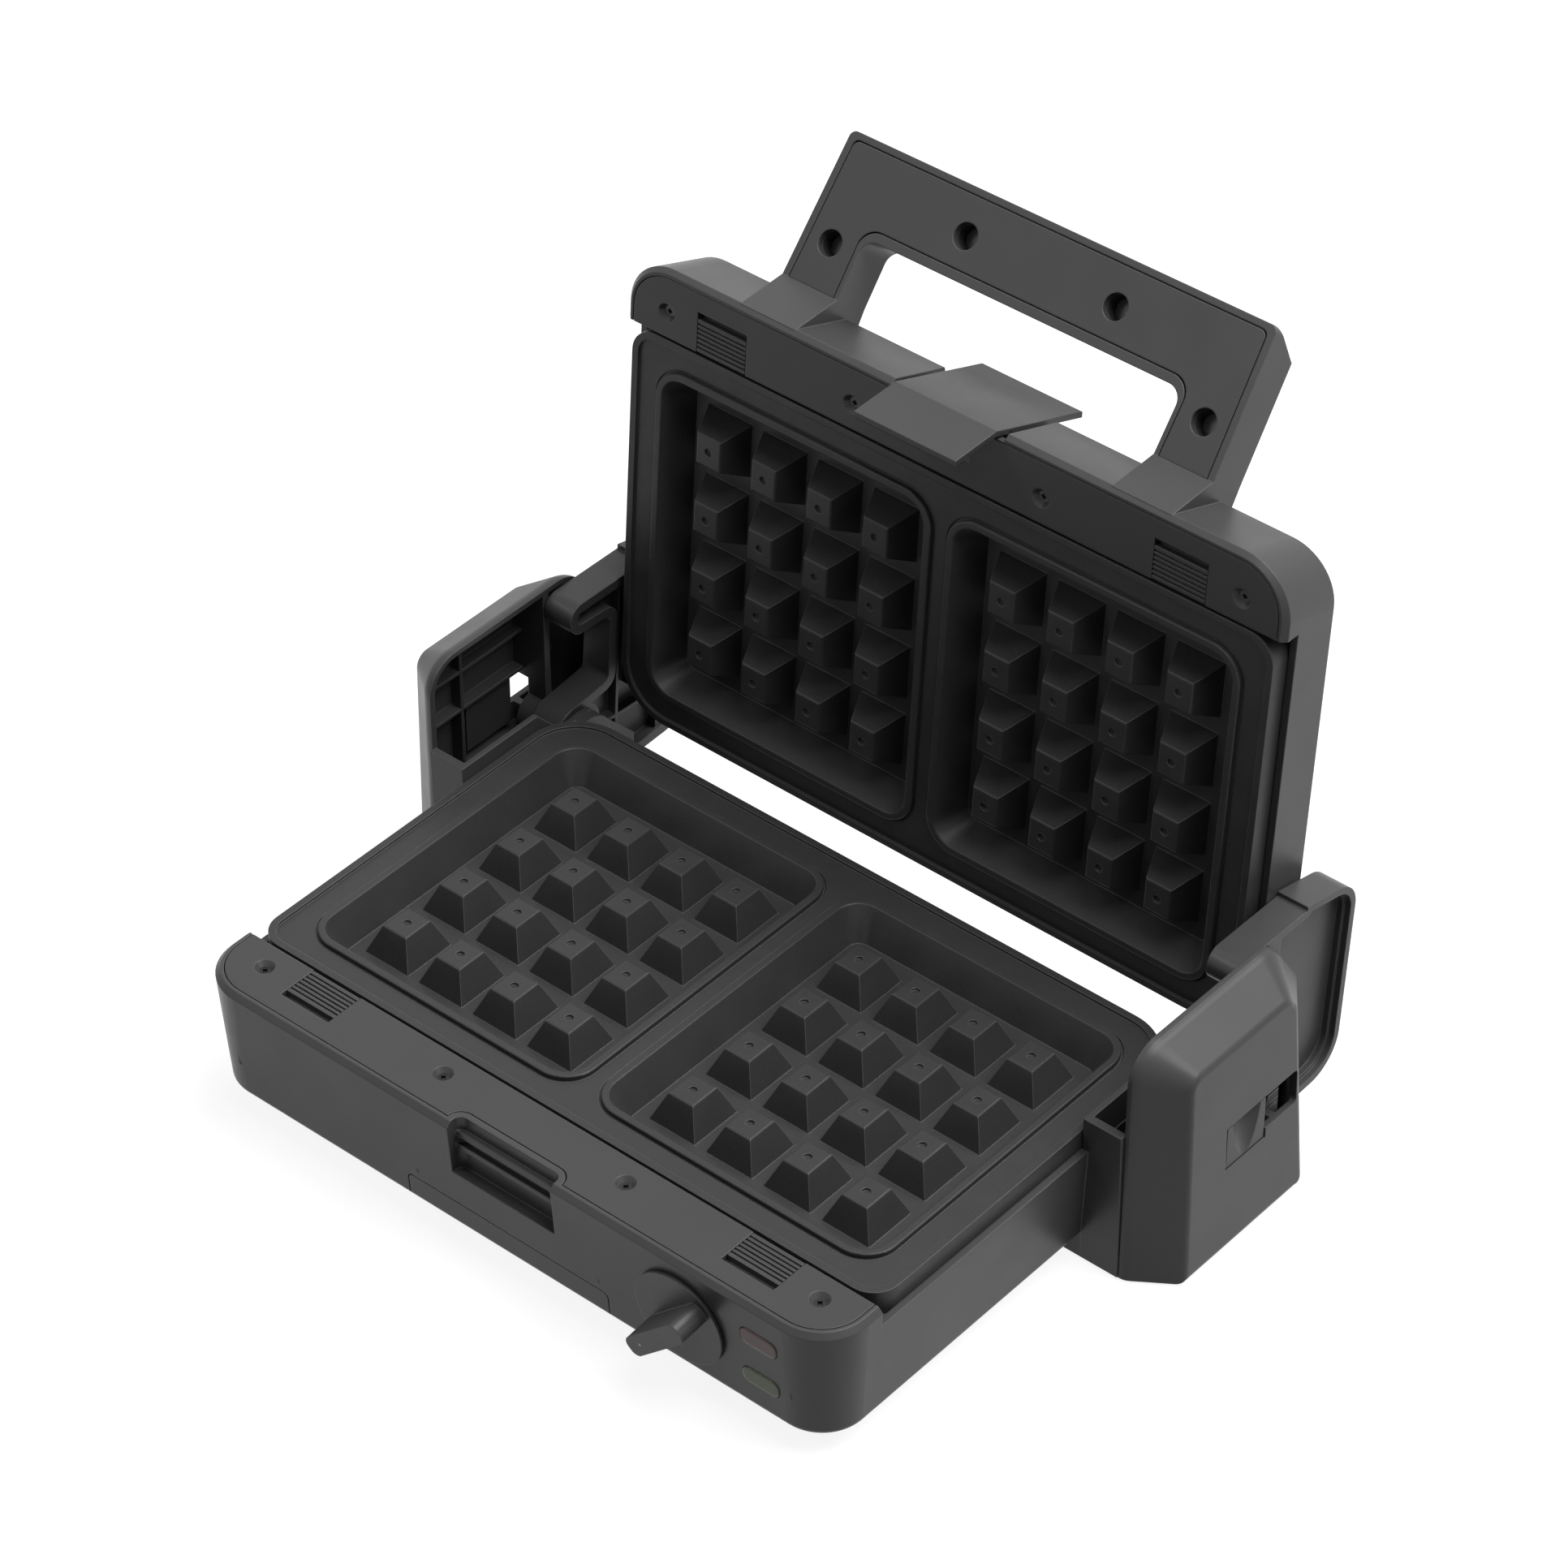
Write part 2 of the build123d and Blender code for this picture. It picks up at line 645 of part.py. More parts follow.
with BuildPart() as pillar_block:
    with BuildSketch(about_hinge(CHEEK_X - CHEEK_T)):
        add(shape((-BLOCK_FRONT, -PILLAR_DROP), (-BLOCK_FRONT - BLOCK_LEAN, LEDGE_RISE),
                  (-LEDGE_BACK, LEDGE_RISE), (-CHEEK_FRONT, HINGE_DROP - WALL_DROP),
                  (CHEEK_BACK, HINGE_DROP - WALL_DROP),
                  (BLOCK_BACK, -BLOCK_BACK_DROP), (BLOCK_BACK, -PILLAR_DROP)))
    extrude(amount=COVER_X - FIT_GAP - CHEEK_X + CHEEK_T)
    with BuildSketch(about_hinge(CHEEK_X)):
        add(box(-BLOCK_FRONT, BLOCK_BACK, -PILLAR_DROP, TOPS_Z - BASE_DEPTH + WALL / 2 - HINGE_Z))
    extrude(amount=-CHEEK_T - FOOT_STRIP)
    with BuildSketch(about_hinge(CHEEK_X)):
        add(shape((BLOCK_WALL - BLOCK_FRONT, BLOCK_WALL - PILLAR_DROP),
                  (BLOCK_WALL - BLOCK_FRONT - BLOCK_LEAN, LEDGE_RISE),
                  (2 * BLOCK_BACK, LEDGE_RISE), (2 * BLOCK_BACK, SLOT_H - PILLAR_DROP),
                  (BLOCK_BACK - BLOCK_WALL, SLOT_H - PILLAR_DROP),
                  (BLOCK_BACK - BLOCK_WALL, BLOCK_WALL - PILLAR_DROP)))
    extrude(amount=2 * EAR_W, mode=Mode.SUBTRACT)
    with BuildSketch(about_hinge(CHEEK_X)):
        Circle(PIN_R + 2 * BLOCK_WALL)
    extrude(amount=-BLOCK_WALL * 2)
    with BuildSketch(about_hinge(CHEEK_X)):
        Circle(PIN_R + PIN_GAP)
    extrude(amount=-BLOCK_WALL * 3, mode=Mode.SUBTRACT)

with BuildPart() as base_housing:
    add(housing_shell(LOWER, base_outline, BASE_DEPTH))
    fillet(edges_at(LOWER, base_housing, BASE_DEPTH), BASE_EDGE_R)
    add(posts(LOWER, SCREW_POINTS, BOSS_R, SCREW_R + FIT_GAP, STRIP_UNDER, -TONGUE_Z - WALL))
    for x, y in SCREW_POINTS:
        rib = box(x - RIB_T / 2, x + RIB_T / 2, HOUSE_FRONT + WALL - FIT_GAP, y - SCREW_R - WALL / 2)
        add(slab(LOWER, rib, STRIP_UNDER + SHELF_T / 2, -TONGUE_Z - WALL))
    add(posts(LOWER, POST_POINTS, POST_R, SCREW_R + FIT_GAP, REFLECTOR_D + REFLECTOR_T,
              BASE_DEPTH - WALL))
    add(slab(LOWER, behind_front(notch_outline(NOTCH_WALL)), -RIM_RISE, NOTCH_DROP + NOTCH_WALL - RIM_RISE))
    add(slab(LOWER, notch_outline(0), -2 * RIM_RISE, NOTCH_DROP - RIM_RISE), mode=Mode.SUBTRACT)
    for drop in (RIDGE_DROP - RIDGE_PITCH, RIDGE_DROP):
        ridge = box(-NOTCH_HALF_W, NOTCH_HALF_W, NOTCH_BACK - RIDGE_REACH, NOTCH_BACK + NOTCH_WALL / 2)
        add(slab(LOWER, ridge, drop - RIM_RISE, drop - RIM_RISE + RIDGE_T))
    add(pillar_block.part)
    mirror(pillar_block.part, about=Plane.YZ)
    with BuildSketch(FACE.offset(WALL)):
        add(tongue_outline())
    extrude(amount=-3 * WALL, mode=Mode.SUBTRACT)
    add(slab(LOWER, box(-TONGUE_HALF_W, TONGUE_HALF_W, HOUSE_FRONT + WALL, COVER_BACK),
             BASE_DEPTH - 2 * WALL, BASE_DEPTH + 1), mode=Mode.SUBTRACT)
    with BuildSketch(FACE.offset(WALL)):
        with Locations((KNOB_X, on_face(KNOB_Z))):
            Circle(SHAFT_R + FIT_GAP)
        with Locations((LAMP_X, on_face(RED_Z)), (LAMP_X, on_face(GREEN_Z))):
            RectangleRounded(LAMP_W + 2 * FIT_GAP, LAMP_H + 2 * FIT_GAP, LAMP_R)
    extrude(amount=-3 * WALL, mode=Mode.SUBTRACT)
    with BuildSketch(GLAND.offset(WALL)):
        Circle(GLAND_R + FIT_GAP)
    extrude(amount=-3 * WALL, mode=Mode.SUBTRACT)
finish(base_housing, "base_housing")

# Bottom cover: the part of the shell's floor and front that lifts away
with BuildPart() as cover_zone:
    with BuildSketch(FACE.offset(WALL)):
        add(tongue_outline())
        offset(amount=-SEAM, mode=Mode.REPLACE)
    extrude(amount=-3 * WALL)
    add(slab(LOWER, box(SEAM - TONGUE_HALF_W, TONGUE_HALF_W - SEAM, HOUSE_FRONT + WALL, COVER_BACK - SEAM),
             BASE_DEPTH - WALL, BASE_DEPTH + 1))

with BuildPart() as bottom_cover:
    add(tub(LOWER, base_outline, -RIM_RISE, BASE_DEPTH))
    fillet(edges_at(LOWER, bottom_cover, BASE_DEPTH), BASE_EDGE_R)
    add(tub(LOWER, base_outline, STRIP_UNDER, BASE_DEPTH - WALL, WALL), mode=Mode.SUBTRACT)
    add(cover_zone.part, mode=Mode.INTERSECT)
finish(bottom_cover, "bottom_cover")

make_plate(LOWER, "lower_plate")
make_plate(UPPER, "upper_plate")
make_strip(LOWER, notch_outline(NOTCH_WALL + SEAM), "base_front_strip")
make_strip(UPPER, None, "lid_front_strip")
make_screws(LOWER, SCREW_POINTS, HEAD_D, "base_strip_screws")
make_screws(UPPER, SCREW_POINTS, HEAD_D, "lid_strip_screws")
for side, word in ((-1, "left"), (1, "right")):
    make_slider(LOWER, -side, f"base_release_{word}")
    make_slider(UPPER, side, f"lid_release_{word}")


# Pillar cover: a bevelled half-shell with ribs, a pin socket and a window for its lock
def cover_section(share, inset):
    """Outline of a pillar cover from where it meets the block (share 0) to its face (share 1)."""
    def between(near, far):
        return near + (far - near) * share

    front = between(-COVER_FRONT, -FACE_FRONT) + inset
    top = between(COVER_TOP, FACE_TOP) - inset
    shoulder = between(COVER_BACK_Z, FACE_TOP - FACE_BACK_DROP) - inset / 2
    return shape((front, inset - PILLAR_DROP), (front, top),
                 (between(COVER_BACK_TOP, FACE_BACK_TOP) - inset, top),
                 (between(COVER_BACK_Y, FACE_BACK_Y / 2) - inset, shoulder),
                 (between(COVER_BACK_Y, FACE_BACK_Y) - inset, inset - PILLAR_DROP),
                 radius=[0, between(COVER_R_FRONT, FACE_R) - inset, between(COVER_R_TOP, FACE_R) - inset,
                         between(COVER_R_BACK, FACE_R) - inset, COVER_R_HEEL - inset])


def cover_block(near_x, far_x, inset):
    """Pillar cover as a block: a short rim, a rounded bend and bevels up to the outer face."""
    lean = radians(COVER_TAPER)
    with BuildPart() as block:
        with BuildSketch(about_hinge(near_x)):
            add(cover_section(0, inset))
        for i in range(BEND_STEPS + 1):
            turn = radians(COVER_BEND * i / BEND_STEPS)
            with BuildSketch(about_hinge(near_x + COVER_RIM + COVER_BEND_R * sin(turn))):
                add(cover_section(COVER_BEND_R * (1 - cos(turn)) / (COVER_FRONT - FACE_FRONT), inset))
        with BuildSketch(Plane(about_hinge(far_x).origin, x_dir=(0, 1, 0),
                               z_dir=(cos(lean), 0, sin(lean)))):
            add(cover_section(1, inset))
        loft(ruled=True)
    return block.part


def lock_zone(grow):
    """Outline of the hinge lock on the side of a pillar, grown by a clearance."""
    return box(LOCK_Y - LOCK_W / 2 - grow, LOCK_Y + LOCK_W / 2 + grow,
               LOCK_Z - LOCK_H / 2 - grow, LOCK_Z + LOCK_H / 2 + grow)


with BuildPart() as cover_ribs:
    above_lock = LOCK_Z + LOCK_H / 2 + COVER_RIB_RISE
    below_lock = LOCK_Z - LOCK_H / 2 - COVER_RIB_DROP
    with BuildSketch(about_hinge(COVER_OUT - COVER_WALL - COVER_RIB_H)):
        add(box(-COVER_RIB_Y, -COVER_RIB_Y + RIB_T, -PILLAR_DROP, COVER_TOP))
        for z in (COVER_RIB_Z, above_lock, below_lock):
            add(box(-COVER_FRONT, COVER_BACK_Y, z, z + RIB_T))
    extrude(amount=COVER_RIB_H + COVER_WALL)
    with BuildSketch(about_hinge(COVER_X)):
        add(box(-RIB_T, RIB_T, -PILLAR_DROP, COVER_TOP))
    extrude(amount=COVER_W)
    with BuildSketch(about_hinge(COVER_X)):
        Circle(PIN_R + 2 * COVER_WALL)
    extrude(amount=SOCKET_L)
    add(cover_block(COVER_X, COVER_OUT, COVER_WALL / 2), mode=Mode.INTERSECT)

with BuildPart() as pillar_cover:
    add(cover_block(COVER_X, COVER_OUT, 0))
    outer_face = pillar_cover.faces().sort_by(Axis.X)[-1]
    fillet(outer_face.edges(), COVER_EDGE_R)
    add(cover_block(COVER_X - FIT_GAP, COVER_OUT - COVER_WALL, COVER_WALL), mode=Mode.SUBTRACT)
    add(cover_ribs.part)
    with BuildSketch(about_hinge(COVER_X)):
        Circle(PIN_R + PIN_GAP)
    extrude(amount=SOCKET_L - COVER_WALL, mode=Mode.SUBTRACT)
    with BuildSketch(about_hinge(COVER_X + SOCKET_L + SEAT_GAP)):
        add(lock_zone(2 * SEAT_GAP))
        window_top = LOCK_Z + LOCK_H / 2 + 2 * SEAT_GAP
        add(shape((LOCK_Y, WINDOW_BOTTOM), (WINDOW_BACK, WINDOW_BOTTOM), (WINDOW_BACK, window_top),
                  (LOCK_Y, window_top), radius=[0, WINDOW_R, WINDOW_R, 0]))
    extrude(amount=COVER_W, mode=Mode.SUBTRACT)

with BuildPart() as hinge_lock:
    with BuildSketch(about_hinge(COVER_OUT - COVER_WALL - LOCK_T / 2)):
        add(lock_zone(0))
    extrude(amount=COVER_WALL + LOCK_T / 2 - SEAT_GAP)
    with BuildSketch(about_hinge(COVER_OUT - COVER_WALL - LOCK_T / 2)):
        add(lock_zone(LOCK_FLANGE))
    extrude(amount=RIB_T)
    lean = radians(LOCK_SCOOP_LEAN)
    scoop = Plane((COVER_OUT + LOCK_SCOOP_R - LOCK_SCOOP_DEPTH, ROW_1_Y + HINGE_Y + LOCK_Y,
                   HINGE_Z + LOCK_Z + LOCK_H / 2), z_dir=(sin(lean), 0, -cos(lean)))
    with BuildSketch(scoop):
        Circle(LOCK_SCOOP_R)
    extrude(amount=LOCK_H, both=True, mode=Mode.SUBTRACT)

# Ear: web between two trays, a hanging arm, a boss round the pin and a pad against the lid
with BuildPart() as hinge_ear:
    with BuildSketch(about_hinge_open(EAR_X)) as ear_profile:
        arm_back = 2 * EAR_ARM_R - ARM_FRONT
        tip_r = EAR_ARM_R - FIT_GAP
        add(shape((-EAR_BOSS_R, 0), (-GAP_BACK, GAP_TOP), (arm_back, GAP_TOP), (arm_back, -ARM_DROP),
                  (-ARM_FRONT, -ARM_DROP), (-ARM_FRONT - ARM_LEAN, EAR_LIP_Z), (-EAR_FRONT, EAR_LIP_Z),
                  (EAR_TOP_IN - EAR_FRONT, EAR_TOP), (EAR_TOP_BACK, EAR_TOP), (EAR_BACK, EAR_BACK_Z),
                  (EAR_HEEL_Y, -EAR_HEEL_DROP), (-EAR_TOE_Y, -EAR_HEEL_DROP),
                  radius=[0, GAP_R, GAP_R, tip_r, tip_r, 0, FIT_GAP, EAR_R, EAR_R_BACK, tip_r, 0, 0]))
        Circle(EAR_BOSS_R)
    extrude(amount=EAR_W)
    tray_depth = (EAR_W - EAR_WEB) / 2
    for near_x, step, solid_arm in ((EAR_X, EAR_STEP, False), (EAR_OUT - tray_depth, EAR_STEP, True),
                                    (EAR_OUT - tray_depth / 2, 0, True)):
        with BuildSketch(about_hinge_open(near_x)):
            add(ear_profile.sketch_local)
            offset(amount=-EAR_WALL - step, mode=Mode.REPLACE)
            Circle(EAR_BOSS_R, mode=Mode.SUBTRACT)
            if solid_arm:
                add(box(-2 * EAR_FRONT, 0, -EAR_BACK, GAP_TOP + EAR_WALL), mode=Mode.SUBTRACT)
        extrude(amount=tray_depth, mode=Mode.SUBTRACT)
    with BuildSketch(about_hinge_open(EAR_X + EAR_STEP)) as lattice:
        for y in EAR_RIBS_Y:
            add(box(y - RIB_T / 2, y + RIB_T / 2, GAP_TOP, EAR_TOP))
        for z in EAR_RIBS_Z:
            add(box(-EAR_FRONT, EAR_BACK, z - RIB_T / 2, z + RIB_T / 2))
        add(ear_profile.sketch_local, mode=Mode.INTERSECT)
    extrude(amount=tray_depth)
    with BuildSketch(about_hinge_open(EAR_X - EAR_PAD_T)):
        add(box(-EAR_PAD_FRONT, -EAR_PAD_BACK, EAR_PAD_Z, EAR_PAD_Z + EAR_PAD_H))
    extrude(amount=EAR_PAD_T + EAR_W / 2)
    add(tub(UPPER, lid_outline, -RIM_RISE, LID_DEPTH), mode=Mode.SUBTRACT)
    with BuildSketch(about_hinge_open(EAR_X)):
        Circle(PIN_R + PIN_GAP)
    extrude(amount=EAR_W, mode=Mode.SUBTRACT)

with BuildPart() as hinge_pin:
    with BuildSketch(about_hinge(CHEEK_X - BLOCK_WALL * 2 - SEAT_GAP)):
        Circle(PIN_R)
    extrude(amount=COVER_X + SOCKET_L - COVER_WALL - SEAT_GAP - CHEEK_X + BLOCK_WALL * 2)
    with BuildSketch(about_hinge(CHEEK_X - BLOCK_WALL * 2 - SEAT_GAP / 2)):
        Circle(PIN_HEAD_R)
    extrude(amount=-PIN_HEAD_T)


def both_sides(piece, name):
    """Write the right-hand piece and its mirror image as two nodes."""
    for side, word in ((1, "right"), (-1, "left")):
        with BuildPart() as copy:
            add(piece.part if side > 0 else piece.part.mirror(Plane.YZ))
        finish(copy, f"{name}_{word}")


both_sides(pillar_cover, "pillar_cover")
both_sides(hinge_lock, "hinge_lock")
both_sides(hinge_ear, "hinge_ear")
both_sides(hinge_pin, "hinge_pin")

# Lid housing: shell with a crown, the latch pocket, posts and the handle loop
HANDLE = Plane(UPPER.location * Location((0, HANDLE_FRONT_Y, HANDLE_FRONT_H), (-HANDLE_TILT, 0, 180)))
LID_SLOPE = LID_TAPER_Y / (LID_DEPTH + RIM_RISE)
CROWN_D = LID_DEPTH + CROWN_RISE
PANEL_HALF_W = HANDLE_HALF_W - PANEL_EDGE
PANEL_RISE = HANDLE_RISE - PANEL_EDGE
WELLS = [(side * x, t) for side in (-1, 1)
         for x, t in ((WELL_OUTER_X, WELL_OUTER_T), (WELL_INNER_X, WELL_INNER_T))]


def crown(inset):
    """Shallow rise over the back of the lid, drawn in by inset."""
    half_w = HOUSE_HALF_W - LID_TAPER_X - CROWN_INSET
    front = HOUSE_FRONT + LID_TAPER_Y + CROWN_INSET
    back = HOUSE_BACK - LID_TAPER_X - CROWN_INSET
    with BuildPart() as rise:
        with BuildSketch(UPPER.offset(LID_DEPTH - inset)):
            add(lid_outline(LID_DEPTH, inset))
        with BuildSketch(UPPER.offset(CROWN_D - inset)):
            corner = -LID_TAPER_X - inset
            add(outline(half_w, front, back, RIM_R + corner, HOUSE_R_BACK + corner))
        loft()
    return rise.part


def loop_outline(half_w, top_in, bottom, rise, radius):
    """Trapezium of the handle loop, its panel or its opening."""
    return shape((-half_w, bottom), (half_w, bottom), (half_w - top_in, rise), (top_in - half_w, rise),
                 radius=[0, 0, radius, radius])


def panel_outline(grow):
    """Outline of the panel on the front of the handle, grown by a clearance."""
    with BuildSketch() as panel:
        add(loop_outline(PANEL_HALF_W + grow, HANDLE_TOP_IN, -grow, PANEL_RISE + grow, HANDLE_R))
        lip_top = LOOP_RISE + LOOP_LIP_TOP - grow
        add(loop_outline(LOOP_HALF_W + LOOP_LIP_SIDE - grow, 0, -HANDLE_T, lip_top, LOOP_LIP_R),
            mode=Mode.SUBTRACT)
    return panel.sketch


with BuildPart() as handle_loop:
    with BuildSketch(HANDLE):
        add(loop_outline(HANDLE_HALF_W, HANDLE_TOP_IN, -1, HANDLE_RISE, HANDLE_R))
        add(loop_outline(LOOP_HALF_W, 0, -HANDLE_T, LOOP_RISE, LOOP_R), mode=Mode.SUBTRACT)
    extrude(amount=HANDLE_T)
    with BuildSketch(across(UPPER, -HANDLE_HALF_W)):
        along, down = cos(radians(HANDLE_TILT)), sin(radians(HANDLE_TILT))
        front_y = HANDLE_FRONT_Y - HANDLE_RISE * along
        front_h = HANDLE_FRONT_H + HANDLE_RISE * down
        bevel_y = front_y + HANDLE_T * down + HANDLE_BEVEL * along
        bevel_h = front_h + HANDLE_T * along - HANDLE_BEVEL * down
        add(shape((front_y + HANDLE_EDGE * down, front_h + HANDLE_EDGE * along), (bevel_y, bevel_h),
                  (bevel_y, bevel_h + HANDLE_T), (front_y - HANDLE_T, bevel_h + HANDLE_T),
                  (front_y - HANDLE_T, front_h)))
    extrude(amount=2 * HANDLE_HALF_W, mode=Mode.SUBTRACT)
    with BuildSketch(HANDLE):
        add(panel_outline(SEAM))
    extrude(amount=PANEL_T, mode=Mode.SUBTRACT)
    with BuildSketch(HANDLE.offset(PANEL_T - FIT_GAP)):
        add(loop_outline(PANEL_HALF_W - 1, HANDLE_TOP_IN, WALL, PANEL_RISE - HANDLE_BEVEL + 1, HANDLE_R))
        add(loop_outline(LOOP_HALF_W + WALL, 0, -HANDLE_T, LOOP_RISE + 2 * WALL, LOOP_R + WALL),
            mode=Mode.SUBTRACT)
        with Locations(*WELLS):
            Circle(WELL_R + WALL, mode=Mode.SUBTRACT)
    extrude(amount=HANDLE_T - PANEL_T - WALL, mode=Mode.SUBTRACT)
    with BuildSketch(HANDLE):
        with Locations(*WELLS):
            Circle(WELL_R)
    extrude(amount=HANDLE_T / 2, mode=Mode.SUBTRACT)
    with BuildSketch(HANDLE):
        with Locations(*WELLS):
            Circle(SCREW_R + FIT_GAP)
    extrude(amount=HANDLE_T - WALL, mode=Mode.SUBTRACT)

with BuildPart() as handle_roots:
    with BuildSketch(across(UPPER, LOOP_HALF_W)):
        inner = HOUSE_FRONT + WALL - FIT_GAP
        add(shape((HOUSE_FRONT + WALL / 4, 1), (HANDLE_FRONT_Y, HANDLE_FRONT_H),
                  (HANDLE_FRONT_Y + HANDLE_T * sin(radians(HANDLE_TILT)),
                   HANDLE_FRONT_H + HANDLE_T * cos(radians(HANDLE_TILT))),
                  (HOUSE_FRONT + LID_TAPER_Y + ROOT_SPREAD, LID_DEPTH + ROOT_RISE),
                  (inner + LID_TAPER_Y, LID_DEPTH - WALL / 2), (inner, 1)))
    extrude(amount=HANDLE_HALF_W - LOOP_HALF_W)
    mirror(about=Plane.YZ)

with BuildPart() as latch_pocket:
    with BuildSketch(across(UPPER, -POCKET_HALF_W)):
        mouth = HOUSE_FRONT + POCKET_MOUTH
        back = HOUSE_FRONT + POCKET_DEPTH
        add(shape((HOUSE_FRONT - WALL, -2 * RIM_RISE), (mouth, -2 * RIM_RISE), (mouth, STRIP_UNDER),
                  (back, STRIP_UNDER), (back + LID_SLOPE * CROWN_D, CROWN_D + RIM_RISE),
                  (HOUSE_FRONT - WALL, CROWN_D)))
    extrude(amount=2 * POCKET_HALF_W)

with BuildPart() as pocket_walls:
    with BuildSketch(across(UPPER, -POCKET_HALF_W - NOTCH_WALL)):
        reach = POCKET_DEPTH + NOTCH_WALL
        inner = HOUSE_FRONT + WALL - FIT_GAP
        add(shape((inner, STRIP_UNDER), (HOUSE_FRONT + reach, STRIP_UNDER),
                  (HOUSE_FRONT + reach + LID_SLOPE * LID_DEPTH, LID_DEPTH),
                  (inner + LID_TAPER_Y, LID_DEPTH)))
    extrude(amount=2 * (POCKET_HALF_W + NOTCH_WALL))

with BuildPart() as lid_housing:
    add(housing_shell(UPPER, lid_outline, LID_DEPTH))
    add(crown(0))
    add(crown(WALL), mode=Mode.SUBTRACT)
    add(posts(UPPER, SCREW_POINTS, BOSS_R, SCREW_R + FIT_GAP, STRIP_UNDER, LID_DEPTH))
    add(posts(UPPER, POST_POINTS, POST_R, SCREW_R + FIT_GAP, REFLECTOR_D + REFLECTOR_T,
              CROWN_D - WALL / 2))
    add(pocket_walls.part)
    add(latch_pocket.part, mode=Mode.SUBTRACT)
    add(handle_roots.part)
    add(handle_loop.part)
    with BuildSketch(across(UPPER, -POCKET_HALF_W - NOTCH_WALL)):
        with Locations((LATCH_PIN_Y, LATCH_PIN_H)):
            Circle(LATCH_PIN_R + PIN_GAP)
    extrude(amount=2 * (POCKET_HALF_W + NOTCH_WALL), mode=Mode.SUBTRACT)
finish(lid_housing, "lid_housing")

with BuildPart() as handle_cover:
    with BuildSketch(HANDLE):
        add(panel_outline(0))
        with Locations(*WELLS):
            Circle(WELL_R, mode=Mode.SUBTRACT)
    extrude(amount=PANEL_T - FIT_GAP / 2)
finish(handle_cover, "handle_cover")

with BuildPart() as handle_screws:
    with Locations(HANDLE.offset(HANDLE_T / 2 - SCREW_R)):
        with Locations(*WELLS):
            Cylinder(WELL_R - 1, SCREW_R, align=(Align.CENTER, Align.CENTER, Align.MIN))
            Cylinder(SCREW_R, HANDLE_T / 2 - WALL, align=(Align.CENTER, Align.CENTER, Align.MIN))
finish(handle_screws, "handle_screws")

# Latch: bent plate on a cross pin, with a lip that catches under the ridge in the notch
with BuildPart() as latch:
    with BuildSketch(across(UPPER, -LATCH_HALF_W)):
        with BuildLine():
            Polyline((LATCH_TOP_Y, LATCH_TOP_H), (LATCH_BEND_Y, LATCH_BEND_H),
                     (LATCH_FOOT_Y, LATCH_FOOT_H), (LATCH_FOOT_Y + LATCH_T, LATCH_FOOT_H),
                     (LATCH_BEND_Y + LATCH_T, LATCH_BEND_H),
                     (LATCH_TOP_Y + LATCH_T, LATCH_TOP_H), close=True)
        make_face()
        hook_h = -RIDGE_DROP - RIDGE_T - PLATE_GAP - SEAT_GAP
        add(shape((LATCH_FOOT_Y + LATCH_T / 2, hook_h), (NOTCH_BACK - 1, hook_h),
                  (LATCH_FOOT_Y + LATCH_T / 2, hook_h - HOOK_H)))
    extrude(amount=2 * LATCH_HALF_W)
    with BuildSketch(across(UPPER, 0)):
        with Locations((LATCH_PIN_Y, LATCH_PIN_H)):
            Circle(LATCH_PIN_R + WALL / 2)
    extrude(amount=LATCH_HALF_W / 2, both=True)
    with BuildSketch(across(UPPER, 0)):
        with Locations((LATCH_PIN_Y, LATCH_PIN_H)):
            Circle(LATCH_PIN_R + PIN_GAP)
    extrude(amount=LATCH_HALF_W, both=True, mode=Mode.SUBTRACT)
finish(latch, "latch")

with BuildPart() as latch_pin:
    with BuildSketch(across(UPPER, 0)):
        with Locations((LATCH_PIN_Y, LATCH_PIN_H)):
            Circle(LATCH_PIN_R)
    extrude(amount=POCKET_HALF_W + NOTCH_WALL - SEAT_GAP, both=True)
finish(latch_pin, "latch_pin")


# Heating elements and their reflectors
def make_element(half, name):
    """Tubular element bent round under both moulds, its ends turned to the back."""
    back = MOULD_Y * 2
    with BuildPart() as element:
        end = MOULD_Y + MOULD_HALF_L
        with BuildLine(half.offset(ELEMENT_D)) as route:
            FilletPolyline((-ELEMENT_END_X, end), (-ELEMENT_END_X, back), (-ELEMENT_X, back),
                           (-ELEMENT_X, 0), (ELEMENT_X, 0), (ELEMENT_X, back), (ELEMENT_END_X, back),
                           (ELEMENT_END_X, end), radius=ELEMENT_BEND)
        with BuildSketch(Plane(route.line @ 0, z_dir=route.line % 0)):
            Circle(ELEMENT_R)
        sweep()
    finish(element, name)


